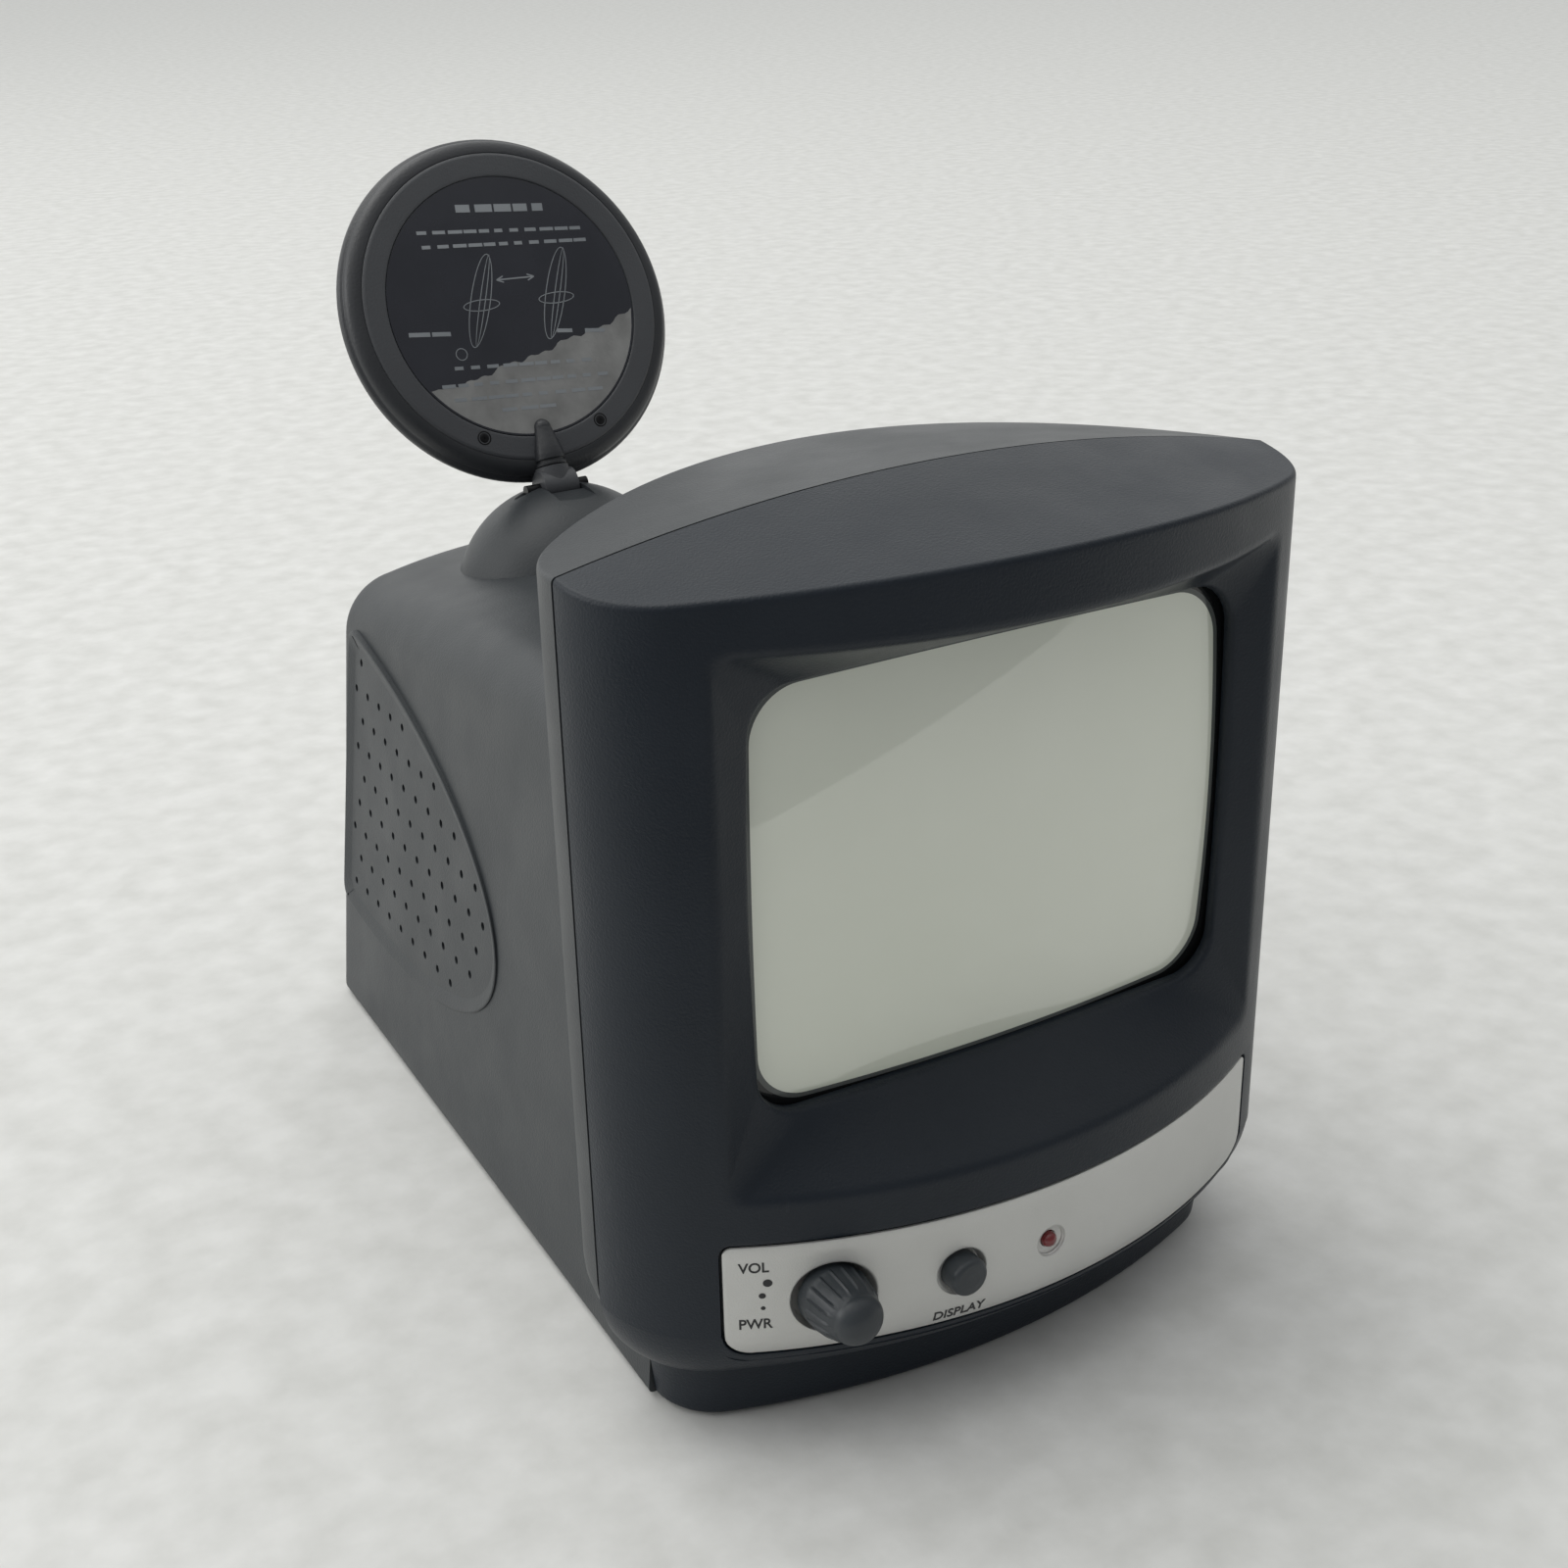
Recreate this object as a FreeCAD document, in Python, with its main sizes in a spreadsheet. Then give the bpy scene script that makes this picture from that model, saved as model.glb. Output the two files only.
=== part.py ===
"""Small picture tube monitor with a swivelling disc antenna.

Design frame, millimetres: X to the right seen from the front, Y to the back, Z up.  The floor is
z = 0, the parting plane between the front bezel and the rear casing is y = 0, and x = 0 is the
middle.  The finished set is moved along Y at the end, so that the origin lies on the floor halfway
between its front and its back.
"""
import FreeCAD, Part
import math
import os
import Sketcher

Vec = FreeCAD.Vector

SIZES = [
    # head, a lens shape in plan that the parting plane halves
    ("head_half", 82.0, "half width of the head"),
    ("front_bow", 40.8, "how far the front bulges from the parting plane"),
    ("front_round", 25.0, "side corner radius of the front"),
    ("rear_bow", 50.0, "how far the head reaches behind the parting plane"),
    ("rear_round", 30.0, "side corner radius of the rear half"),
    ("head_top", 189.2, "height at the middle of the parting plane"),
    ("head_crown", 8.8, "how far the top drops towards the sides"),
    ("brow_drop", 7.1, "how far the top drops towards the front"),
    ("nape_drop", 6.0, "how far the top drops towards the back"),
    ("head_foot", 31.0, "height at which the head tucks in to the foot"),
    ("wall", 2.4, "wall of the mouldings"),
    ("joint_gap", 0.5, "gap between the mouldings where they meet"),
    # foot
    ("foot_half", 72.0, "half width of the foot at the parting plane"),
    ("foot_bow", 26.0, "how far the foot bulges to the front"),
    ("foot_round", 16.0, "corner radius of the foot"),
    ("foot_top", 15.0, "height at which the chin starts"),
    ("floor_gap", 1.2, "height of the mouldings above the floor"),
    # rear body
    ("body_end", 208.0, "back of the rear body"),
    ("body_half_end", 61.0, "half width at the bottom of the back"),
    ("body_lean", 11.0, "how far the side walls lean in up to the shoulder"),
    ("body_top", 150.0, "height of the body behind the head"),
    ("body_top_end", 124.0, "height of the body at the back"),
    ("body_crown", 4.0, "crown of the top of the body"),
    ("shoulder_round", 16.0, "radius of the shoulders"),
    ("back_round", 5.0, "rounding of the back edge"),
    # window and dished surround
    ("window_half", 55.9, "half width of the window"),
    ("window_low", 73.6, "bottom of the window"),
    ("window_high", 160.1, "top of the window"),
    ("window_back", 21.5, "how far the window lies in front of the parting plane"),
    ("window_round", 9.0, "corner radius of the window"),
    ("dish_side", 9.3, "how far the surround opens past the sides of the window"),
    ("dish_under", 14.1, "how far it opens below the window"),
    ("dish_over", 9.4, "how far it opens above the window"),
    ("dish_round", 4.0, "how much larger its corner radius is"),
    ("dish_side_deep", 6.0, "depth over which the surround opens sideways"),
    # control panel
    ("panel_low", 23.8, "bottom of the control panel"),
    ("panel_high", 49.5, "top of the control panel"),
    ("panel_thick", 1.6, "thickness of the control panel"),
    ("panel_margin", 3.0, "how far the panel stops before the side of the head"),
    # controls on the panel
    ("knob_x", -46.75, "volume knob, from the middle"),
    ("button_x", -21.0, "display button, from the middle"),
    ("led_x", 0.0, "power lamp, from the middle"),
    ("control_z", 36.0, "height of the controls"),
    ("knob_rad", 9.0, "radius of the knob"),
    ("knob_long", 15.4, "length of the knob"),
    ("knob_proud", 12.0, "how far the knob stands out of the panel"),
    ("knob_room", 3.5, "gap between the knob and the rim of its recess"),
    ("shaft_rad", 3.0, "radius of the volume shaft"),
    ("running_gap", 0.05, "radial clearance of a shaft"),
    ("button_rad", 6.2, "radius of the display button"),
    ("button_travel", 0.8, "travel of the display button"),
    ("button_proud", 3.6, "how far the display button stands out of the panel"),
    ("front_board_y", 18.0, "front board, in front of the parting plane"),
    ("led_rad", 2.0, "radius of the lamp"),
    # picture tube
    ("face_past_side", 4.1, "how far the tube face runs past the sides of the window"),
    ("face_past_top", 4.25, "how far it runs past the top and bottom"),
    ("face_round", 12.0, "corner radius of the tube face"),
    ("tube_long", 150.0, "length of the tube without its base"),
    ("tube_skirt", 22.0, "depth of the straight skirt behind the face"),
    ("funnel_long", 52.0, "depth of the funnel"),
    ("neck_rad", 10.0, "radius of the neck"),
    ("glass", 2.0, "thickness of the glass of the funnel"),
    ("face_bulge", 4.0, "how far the middle of the face bulges"),
    ("tube_gap", 2.2, "gap between the window and the face"),
    ("band_thick", 0.8, "thickness of the tension band"),
    # antenna
    ("pivot_behind", 5.0, "tilt axis behind the middle of the dome"),
    ("pivot_z", 145.0, "height of the tilt axis"),
    ("antenna_lean", 24.0, "backward lean of the antenna at rest, degrees"),
    ("disc_rad", 45.3, "radius of the antenna disc"),
    ("disc_up", 47.9, "tilt axis to the middle of the disc"),
    ("disc_rim", 6.0, "thickness of the rim of the disc"),
    ("disc_dome", 5.0, "how far the back of the disc bulges behind its rim"),
    ("disc_wall", 1.6, "wall of the disc shells"),
    ("label_rad", 34.3, "radius of the label"),
    ("stem_rad", 4.15, "radius of the stem"),
    ("stem_long", 18.0, "tilt axis to the tip of the stem"),
    ("knuckle_over", 0.45, "how much larger the knuckle is than the stem"),
    ("knuckle_side", 0.55, "how far the knuckle runs past the stem on each side"),
    ("pin_rad", 1.5, "radius of the hinge pin"),
    ("slot_drop", 1.6, "how far the slot behind the tilt axis reaches below it"),
    ("dome_rad", 29.6, "radius of the antenna dome"),
    ("dome_in", 40.0, "middle of the dome in front of the back of the body"),
    ("dome_top", 146.5, "top of the dome"),
    ("screw_ring", 36.6, "radius at which the antenna screws stand"),
    # grille in the side walls
    ("grille_y", 128.0, "middle of the grille behind the parting plane"),
    ("grille_z", 81.0, "middle of the grille"),
    ("grille_long", 48.0, "half length of the grille"),
    ("grille_wide", 33.0, "half width of the grille"),
    ("grille_lean", 58.0, "slant of the grille, degrees"),
    ("grille_deep", 0.8, "how far the grille lies below the wall around it"),
    ("grille_thick", 1.6, "thickness of the grille"),
    ("grille_hole", 1.0, "radius of a grille hole"),
    ("grille_pitch", 8.6, "distance between grille holes"),
    # boards and fittings
    ("board_z", 16.0, "underside of the main board"),
    ("board_thick", 1.6, "thickness of the boards"),
    ("jack_z", 30.0, "height of the rear jacks"),
    ("jack_rad", 4.15, "radius of the video jack's sleeve"),
    ("jack_proud", 8.0, "how far the video jack stands out"),
    ("foot_pad_rad", 6.0, "radius of a rubber foot"),
    ("trim_rad", 3.4, "radius of a rear trimmer knob"),
    ("trim_pitch", 22.0, "distance between the trimmers"),
    ("trim_z", 62.0, "height of the trimmers"),
    ("video_x", 30.0, "video jack, from the middle"),
    ("power_x", -34.0, "power jack, from the middle"),
    ("power_rad", 5.5, "radius of the power jack"),
    ("switch_x", 4.0, "channel switch, from the middle"),
    ("board_front", 22.0, "front edge of the main board behind the parting plane"),
    ("board_behind", 22.0, "gap between the main board and the back of the body"),
    ("board_side", 20.0, "gap between the main board and the side of the foot"),
    ("casing_screw_side", 24.0, "casing screws, in from the side of the head"),
    ("casing_screw_down", 16.2, "casing screws, down from the top of the head"),
    ("pad_in", 18.0, "rubber feet, in from the side and the back"),
]

doc = FreeCAD.newDocument("monitor")
sheet = doc.addObject("Spreadsheet::Sheet", "sizes")
for row, (alias, value, note) in enumerate(SIZES, start=1):
    sheet.set("A%d" % row, note)
    sheet.set("B%d" % row, str(value))
    sheet.setAlias("B%d" % row, alias)
doc.recompute()


def size(alias):
    """Number held in the sheet under this alias."""
    return float(sheet.get(alias))


def dish_half():
    return size("window_half") + size("dish_side")


def dish_low():
    return size("window_low") - size("dish_under")


def dish_high():
    return size("window_high") + size("dish_over")


def knob_recess():
    return size("knob_rad") + size("knob_room")


def window_middle():
    return (size("window_low") + size("window_high")) / 2


def tube_half_wide():
    return size("window_half") + size("face_past_side")


def tube_half_high():
    return (size("window_high") - size("window_low")) / 2 + size("face_past_top")


def dome_y():
    """Middle of the antenna dome behind the parting plane."""
    return size("body_end") - size("dome_in")


def pivot_y():
    return dome_y() + size("pivot_behind")


def knuckle_rad():
    return size("stem_rad") + size("knuckle_over")


def knuckle_half():
    return size("stem_rad") + size("knuckle_side")


def trim_xs():
    return (-size("trim_pitch"), 0.0, size("trim_pitch"))


def casing_screw_x():
    return size("head_half") - size("casing_screw_side")


def casing_screw_z():
    return size("head_top") - size("casing_screw_down")


def bound(text):
    """Expression in which sheet aliases are spelled out for other objects."""
    names = sorted((row[0] for row in SIZES), key=len, reverse=True)
    out = ""
    word = ""
    for letter in text + " ":
        if letter.isalnum() or letter == "_":
            word += letter
            continue
        out += "sizes." + word if word in names else word
        out += letter
        word = ""
    return out.strip()


def bind(obj, prop, text):
    """Tie a property of an object to a formula of sheet sizes."""
    obj.setExpression(prop, bound(text))


nodes = []


def node(obj, label):
    """Mark an object as a finished piece and give it its name."""
    obj.Label = label
    nodes.append(obj)
    return obj


# ---- primitives and booleans bound to the sheet ------------------------------------------------

def place(obj, at, turn=None):
    """Bind the position of an object; turn is (axis, angle in degrees)."""
    if turn:
        obj.Placement.Rotation = FreeCAD.Rotation(Vec(*turn[0]), turn[1])
    for letter, text in zip("xyz", at):
        bind(obj, "Placement.Base." + letter, text)
    return obj


ALONG = {"x": ((0, 1, 0), 90), "y": ((1, 0, 0), -90), "z": None, "-y": ((1, 0, 0), 90)}


def block(at, extent):
    """Box from its low corner and its three lengths."""
    obj = doc.addObject("Part::Box", "block")
    for prop, text in zip(("Length", "Width", "Height"), extent):
        bind(obj, prop, text)
    return place(obj, at)


def rod(at, radius, length, along="z"):
    """Cylinder from the middle of its base along an axis."""
    obj = doc.addObject("Part::Cylinder", "rod")
    bind(obj, "Radius", radius)
    bind(obj, "Height", length)
    return place(obj, at, ALONG[along])


def taper(at, radius, end_radius, length, along="z"):
    """Cone from the middle of its base along an axis."""
    obj = doc.addObject("Part::Cone", "taper")
    bind(obj, "Radius1", radius)
    bind(obj, "Radius2", end_radius)
    bind(obj, "Height", length)
    return place(obj, at, ALONG[along])


def join(*parts):
    """Union of the pieces."""
    obj = doc.addObject("Part::MultiFuse", "join")
    obj.Shapes = list(parts)
    return obj


def group(*parts):
    """Separate solids that share one name."""
    obj = doc.addObject("Part::Compound", "group")
    obj.Links = list(parts)
    return obj


def carve(base, *tools):
    """The base with every tool cut away."""
    tool = tools[0] if len(tools) == 1 else join(*tools)
    obj = doc.addObject("Part::Cut", "carve")
    obj.Base = base
    obj.Tool = tool
    return obj


def tube(at, radius, bore, length, along="z"):
    """Hollow cylinder; the bore runs past both ends."""
    return carve(rod(at, radius, length, along), rod(at, bore, length, along))


# ---- turned pieces as bodies -------------------------------------------------------------------

def origin_plane(body, role):
    """One of the body's own origin planes or axes."""
    return [f for f in body.Origin.OriginFeatures if f.Role == role][0]


def polygon(sketch, corners):
    """Closed outline whose corners are formulas of sheet sizes."""
    count = len(corners)
    for k in range(count):
        turn = 2 * math.pi / count
        start = Vec(40 + 20 * math.cos(turn * k), 20 * math.sin(turn * k), 0)
        end = Vec(40 + 20 * math.cos(turn * (k + 1)), 20 * math.sin(turn * (k + 1)), 0)
        sketch.addGeometry(Part.LineSegment(start, end), False)
    for k in range(count):
        sketch.addConstraint(Sketcher.Constraint("Coincident", k, 2, (k + 1) % count, 1))
    for k, (across, up) in enumerate(corners):
        for kind, text, axis in (("DistanceX", across, -2), ("DistanceY", up, -1)):
            if text == "0":
                sketch.addConstraint(Sketcher.Constraint("PointOnObject", k, 1, axis))
                continue
            at = sketch.addConstraint(Sketcher.Constraint(kind, -1, 1, k, 1, 10.0))
            sketch.setExpression("Constraints[%d]" % at, bound(text))


def turned(label, corners, at=None, along="z"):
    """Body revolved about its own Z axis from (radius, height) corners."""
    body = doc.addObject("PartDesign::Body", label)
    sketch = body.newObject("Sketcher::SketchObject", label + "_profile")
    sketch.AttachmentSupport = (origin_plane(body, "XZ_Plane"), [""])
    sketch.MapMode = "FlatFace"
    polygon(sketch, corners)
    spin = body.newObject("PartDesign::Revolution", label + "_turn")
    spin.Profile = sketch
    spin.ReferenceAxis = (sketch, ["V_Axis"])
    spin.Angle = 360.0
    sketch.Visibility = False
    return place(body, at, ALONG[along]) if at else body


def plate(label, corners, thickness, at, holes=()):
    """Body padded upwards from a flat outline, with round holes at (x, y, radius)."""
    body = doc.addObject("PartDesign::Body", label)
    sketch = body.newObject("Sketcher::SketchObject", label + "_outline")
    sketch.AttachmentSupport = (origin_plane(body, "XY_Plane"), [""])
    sketch.MapMode = "FlatFace"
    polygon(sketch, corners)
    pad = body.newObject("PartDesign::Pad", label + "_pad")
    pad.Profile = sketch
    bind(pad, "Length", thickness)
    if holes:
        drill = body.newObject("Sketcher::SketchObject", label + "_holes")
        drill.AttachmentSupport = (origin_plane(body, "XY_Plane"), [""])
        drill.MapMode = "FlatFace"
        for k, (across, up, radius) in enumerate(holes):
            drill.addGeometry(Part.Circle(Vec(10 + 9 * k, 10, 0), Vec(0, 0, 1), 1.0), False)
            for kind, text in (("DistanceX", across), ("DistanceY", up)):
                spot = drill.addConstraint(Sketcher.Constraint(kind, -1, 1, k, 3, 10.0))
                drill.setExpression("Constraints[%d]" % spot, bound(text))
            spot = drill.addConstraint(Sketcher.Constraint("Radius", k, 1.0))
            drill.setExpression("Constraints[%d]" % spot, bound(radius))
        pocket = body.newObject("PartDesign::Pocket", label + "_drill")
        pocket.Profile = drill
        pocket.Type = "ThroughAll"
        pocket.Midplane = True
    return place(body, at)


# ---- outlines and lofts of the mouldings -------------------------------------------------------

def bow_outline(half, bow, corner, z, side):
    """Half of the lens plan at height z: a bow between two corner arcs, closed on the parting plane.

    side is -1 for the front half and 1 for the rear half.
    """
    big = (half ** 2 + bow ** 2 - 2 * half * corner) / (2 * (bow - corner))
    slope = math.atan2(big - bow, half - corner)
    touch_x = big * math.cos(slope)
    touch_y = big * math.sin(slope) - (big - bow)
    mid_x = half - corner + corner * math.cos(slope / 2)
    mid_y = corner * math.sin(slope / 2)
    left = Part.Arc(Vec(-half, 0, z), Vec(-mid_x, side * mid_y, z), Vec(-touch_x, side * touch_y, z))
    face = Part.Arc(Vec(-touch_x, side * touch_y, z), Vec(0, side * bow, z),
                    Vec(touch_x, side * touch_y, z))
    right = Part.Arc(Vec(touch_x, side * touch_y, z), Vec(mid_x, side * mid_y, z), Vec(half, 0, z))
    chord = Part.LineSegment(Vec(half, 0, z), Vec(-half, 0, z))
    return Part.Wire([e.toShape() for e in (left, face, right, chord)])


def loft(wires, ruled=True):
    """Solid through the wires."""
    return Part.makeLoft(wires, True, ruled)


def top_cutter(inset, side):
    """Everything above the crowned top of one half of the head, lowered by inset."""
    half = size("head_half")
    crown = size("head_crown")
    radius = (half ** 2 + crown ** 2) / (2 * crown)
    reach = size("front_bow") if side < 0 else size("rear_bow")
    drop = size("brow_drop") if side < 0 else size("nape_drop")
    tilt = math.degrees(math.atan2(drop, reach))
    long = 2 * reach
    roll = Part.makeCylinder(radius - inset, long, Vec(0, 0, 0), Vec(0, 1, 0))
    roll.translate(Vec(0, 0 if side > 0 else -long, -radius))
    roll.rotate(Vec(0, 0, 0), Vec(1, 0, 0), -side * tilt)
    roll.translate(Vec(0, 0, size("head_top")))
    return roll


def head_half_solid(inset, side):
    """One half of the head and its foot, shrunk by inset all round."""
    bow = size("front_bow") if side < 0 else size("rear_bow")
    corner = size("front_round") if side < 0 else size("rear_round")
    foot_bow = size("foot_bow")
    top = size("head_top") + 5
    upper = loft([
        bow_outline(size("head_half") - inset, bow - inset, corner - inset, z, side)
        for z in (size("head_foot") + inset / 2, top)])
    upper = upper.common(top_cutter(inset, side))
    if side > 0:
        return upper
    # the chin rounds back under the panel in a quarter ellipse, then the foot goes down
    rings = []
    low = size("foot_top")
    high = size("head_foot") + inset / 2
    for k in range(6):
        turn = math.pi / 2 * k / 5
        z = high - (high - low) * math.sin(turn)
        mix = 1 - math.cos(turn)
        rings.append(bow_outline(
            size("head_half") * (1 - mix) + size("foot_half") * mix - inset,
            bow * (1 - mix) + foot_bow * mix - inset,
            corner * (1 - mix) + size("foot_round") * mix - inset, z, side))
    foot = bow_outline(size("foot_half") - 1.5 - inset, foot_bow - 1.5 - inset,
                       size("foot_round") - inset, size("floor_gap") + inset, side)
    rings.append(foot)
    return upper.fuse(loft(rings))


def rounded_window(half_wide, low, high, corner, y):
    """Upright rounded rectangle of eight edges, in the plane y."""
    edges = []
    arcs = ((half_wide, high, -1, -1, 0), (-half_wide, high, 1, -1, 90),
            (-half_wide, low, 1, 1, 180), (half_wide, low, -1, 1, 270))
    ends = []
    for x, z, to_x, to_z, start in arcs:
        centre = Vec(x + to_x * corner, y, z + to_z * corner)
        points = []
        for part in (0, 45, 90):
            turn = math.radians(start + part)
            points.append(centre + Vec(corner * math.cos(turn), 0, corner * math.sin(turn)))
        ends.append(points)
    for k in range(4):
        edges.append(Part.Arc(*ends[k]).toShape())
        edges.append(Part.LineSegment(ends[k][2], ends[(k + 1) % 4][0]).toShape())
    return Part.Wire(edges)


def dish_solid(grow):
    """The dished surround, from in front of the head to the window, grown by a wall.

    At the middle it opens to its full height where it meets the bow; at the sides the bow falls
    back, so it opens to its full width within a few millimetres.
    """
    near_y = size("window_back")
    deep = size("front_bow") + 6 - near_y
    rise = deep / (size("front_bow") - near_y)
    flare = deep / size("dish_side_deep")
    back = rounded_window(size("window_half") + grow, size("window_low") - grow,
                          size("window_high") + grow, size("window_round") + grow, -near_y + grow)
    front = rounded_window(
        size("window_half") + (dish_half() - size("window_half")) * flare + grow,
        size("window_low") + (dish_low() - size("window_low")) * rise - grow,
        size("window_high") + (dish_high() - size("window_high")) * rise + grow,
        size("window_round") + size("dish_round") + grow, -near_y - deep)
    return loft([back, front])


def front_y(x):
    """Where the bowed front lies at this x."""
    half = size("head_half")
    bow = size("front_bow")
    corner = size("front_round")
    big = (half ** 2 + bow ** 2 - 2 * half * corner) / (2 * (bow - corner))
    return -(math.sqrt(big ** 2 - x ** 2) - (big - bow))


def panel_band(grow, low, high, outer, inner):
    """Curved strip of the front between two depths under its surface."""
    half = size("head_half")
    bow = size("front_bow")
    corner = size("front_round")
    band = loft([bow_outline(half - outer, bow - outer, corner - outer, z, -1) for z in (low, high)])
    core = loft([bow_outline(half - inner, bow - inner, corner - inner, z, -1)
                 for z in (low - 1, high + 1)])
    reach = half - size("panel_margin") + grow
    slab = Part.makeBox(2 * reach, bow, high - low, Vec(-reach, -bow - 2, low))
    keep = Part.makeBox(2 * reach, bow - 6 + grow, high - low, Vec(-reach, -bow - 2, low))
    return band.cut(core).common(slab).common(keep)


def feature(shape, label):
    """A piece whose shape is worked out from the sheet's numbers."""
    obj = doc.addObject("Part::Feature", label)
    obj.Shape = shape
    return node(obj, label)


def out_rod(x, z, radius, start, end):
    """Cylinder pointing forward at x, between two distances from the bowed front."""
    return Part.makeCylinder(radius, end - start, Vec(x, front_y(x) - start, z), Vec(0, -1, 0))


# ---- front bezel -------------------------------------------------------------------------------

def make_front_bezel():
    wall = size("wall")
    outer = head_half_solid(0, -1)
    cavity = head_half_solid(wall, -1)
    behind = Part.makeBox(400, 400, 400, Vec(-200, 0, -100))
    cavity = cavity.fuse(cavity.translated(Vec(0, 1, 0)))
    cavity = cavity.cut(dish_solid(wall))
    shell = outer.cut(cavity).cut(dish_solid(0)).cut(behind)
    window = loft([rounded_window(size("window_half"), size("window_low"), size("window_high"),
                                  size("window_round"), y) for y in (-size("window_back") - 1, 5)])
    shell = shell.cut(window)
    # a backing behind the control panel, then the seat of the panel
    seat = size("panel_thick") + 0.2
    shell = shell.fuse(panel_band(0, size("panel_low") - 1, size("panel_high") + 1, seat, seat + 2.2))
    gap = 0.3
    shell = shell.cut(panel_band(gap, size("panel_low") - gap, size("panel_high") + gap, -1, seat))
    for x, radius in ((size("knob_x"), knob_recess() + 0.5),
                      (size("button_x"), size("button_rad") + 3),
                      (size("led_x"), size("led_rad") + 2.4)):
        shell = shell.cut(out_rod(x, size("control_z"), radius, -12, 8))
    # posts that carry the tube, standing on the skin of the front beside the surround
    post_rad = 3.6
    start = -front_y(tube_screw_x() + post_rad) - wall / 2
    for side in (-1, 1):
        for z in tube_screw_heights():
            at = Vec(side * tube_screw_x(), -start, z)
            post = Part.makeCylinder(post_rad, start + ear_y() - 0.05, at, Vec(0, 1, 0))
            drill = Part.makeCylinder(1.3, 40, at + Vec(0, 2.5, 0), Vec(0, 1, 0))
            shell = shell.fuse(post.cut(dish_solid(0))).cut(drill)
    # posts for the upper casing screws, and hooks over the floor of the rear casing
    for side in (-1, 1):
        long = -front_y(casing_screw_x()) - 1.8
        at = Vec(side * casing_screw_x(), -long, casing_screw_z())
        post = Part.makeCylinder(3.6, long - 0.2, at, Vec(0, 1, 0))
        drill = Part.makeCylinder(1.55, 12, Vec(at.x, -11.5, at.z), Vec(0, 1, 0))
        shell = shell.fuse(post).cut(drill)
        hook_x = side * size("foot_half") / 2 - 6
        hook = Part.makeBox(12, 12, 2, Vec(hook_x, -4, size("floor_gap") + wall + 0.6))
        stem = Part.makeBox(12, 2.5, wall + 2, Vec(hook_x, -4, size("floor_gap") + 0.8))
        shell = shell.fuse(hook).fuse(stem)
    return feature(shell.removeSplitter(), "front_bezel")


def ear_y():
    """Front face of the ears of the tension band."""
    return face_y() + 6


def tube_screw_x():
    return tube_half_wide() + 5


def tube_screw_heights():
    middle = window_middle()
    return (middle - tube_half_high() + 8, middle + tube_half_high() - 8)


# ---- rear casing -------------------------------------------------------------------------------

def body_section(y, inset):
    """Cross section of the rear body at depth y: leaning sides, round shoulders, crowned top."""
    share = y / size("body_end")
    low = size("foot_half") + (size("body_half_end") - size("foot_half")) * share - inset
    top = size("body_top") + (size("body_top_end") - size("body_top")) * share - inset
    lean = size("body_lean")
    base = size("floor_gap") + inset
    corner = size("shoulder_round") - inset
    crown = size("body_crown")
    shoulder = low - lean
    tilt = math.atan2(lean, top - base)
    centre = Vec(shoulder - corner, y, top - corner - crown)
    start = centre + Vec(corner * math.cos(tilt), 0, corner * math.sin(tilt))
    over = math.radians(82)
    end = centre + Vec(corner * math.cos(over), 0, corner * math.sin(over))
    half_way = (tilt + over) / 2
    mid = centre + Vec(corner * math.cos(half_way), 0, corner * math.sin(half_way))

    def mirror(point):
        return Vec(-point.x, point.y, point.z)

    foot = Vec(low, y, base)
    edges = [
        Part.LineSegment(mirror(foot), foot),
        Part.LineSegment(foot, start),
        Part.Arc(start, mid, end),
        Part.Arc(end, Vec(0, y, top), mirror(end)),
        Part.Arc(mirror(end), mirror(mid), mirror(start)),
        Part.LineSegment(mirror(start), mirror(foot)),
    ]
    return Part.Wire([e.toShape() for e in edges])


def body_solid(inset):
    end = size("body_end")
    edge = size("back_round")
    if inset:
        return loft([body_section(y, inset) for y in (-1, end - inset)])
    return loft([body_section(0, 0), body_section(end - edge, 0), body_section(end - 1.5, 1.6),
                 body_section(end, 4)])


def wall_x(y, z):
    """Outside of the left or right wall of the rear body at this point."""
    share = y / size("body_end")
    low = size("foot_half") + (size("body_half_end") - size("foot_half")) * share
    top = size("body_top") + (size("body_top_end") - size("body_top")) * share
    return low - size("body_lean") * (z - size("floor_gap")) / (top - size("floor_gap"))


def wall_inward(side):
    """Unit normal of the left or right wall, pointing into the casing."""
    taper_y = (size("foot_half") - size("body_half_end")) / size("body_end")
    taper_z = size("body_lean") / (size("body_top") - size("floor_gap"))
    return Vec(-side, -taper_y, -taper_z).normalize()


def grille_frame(side):
    """On the wall in the middle of the grille: own Z points outward, own X runs up the leaf."""
    centre = Vec(side * wall_x(size("grille_y"), size("grille_z")), size("grille_y"), size("grille_z"))
    lean = math.radians(size("grille_lean"))
    out = wall_inward(side) * -1
    along = Vec(0, math.cos(lean), math.sin(lean))
    along = (along - out * along.dot(out)).normalize()
    return FreeCAD.Placement(centre, FreeCAD.Rotation(along, out.cross(along), out))


def leaf(grow, low, high):
    """Leaf shaped prism between two heights over the wall, in the grille's own frame."""
    edge = Part.Ellipse(Vec(0, 0, low), size("grille_long") + grow, size("grille_wide") + grow)
    return Part.Face(Part.Wire([edge.toShape()])).extrude(Vec(0, 0, high - low))


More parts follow.
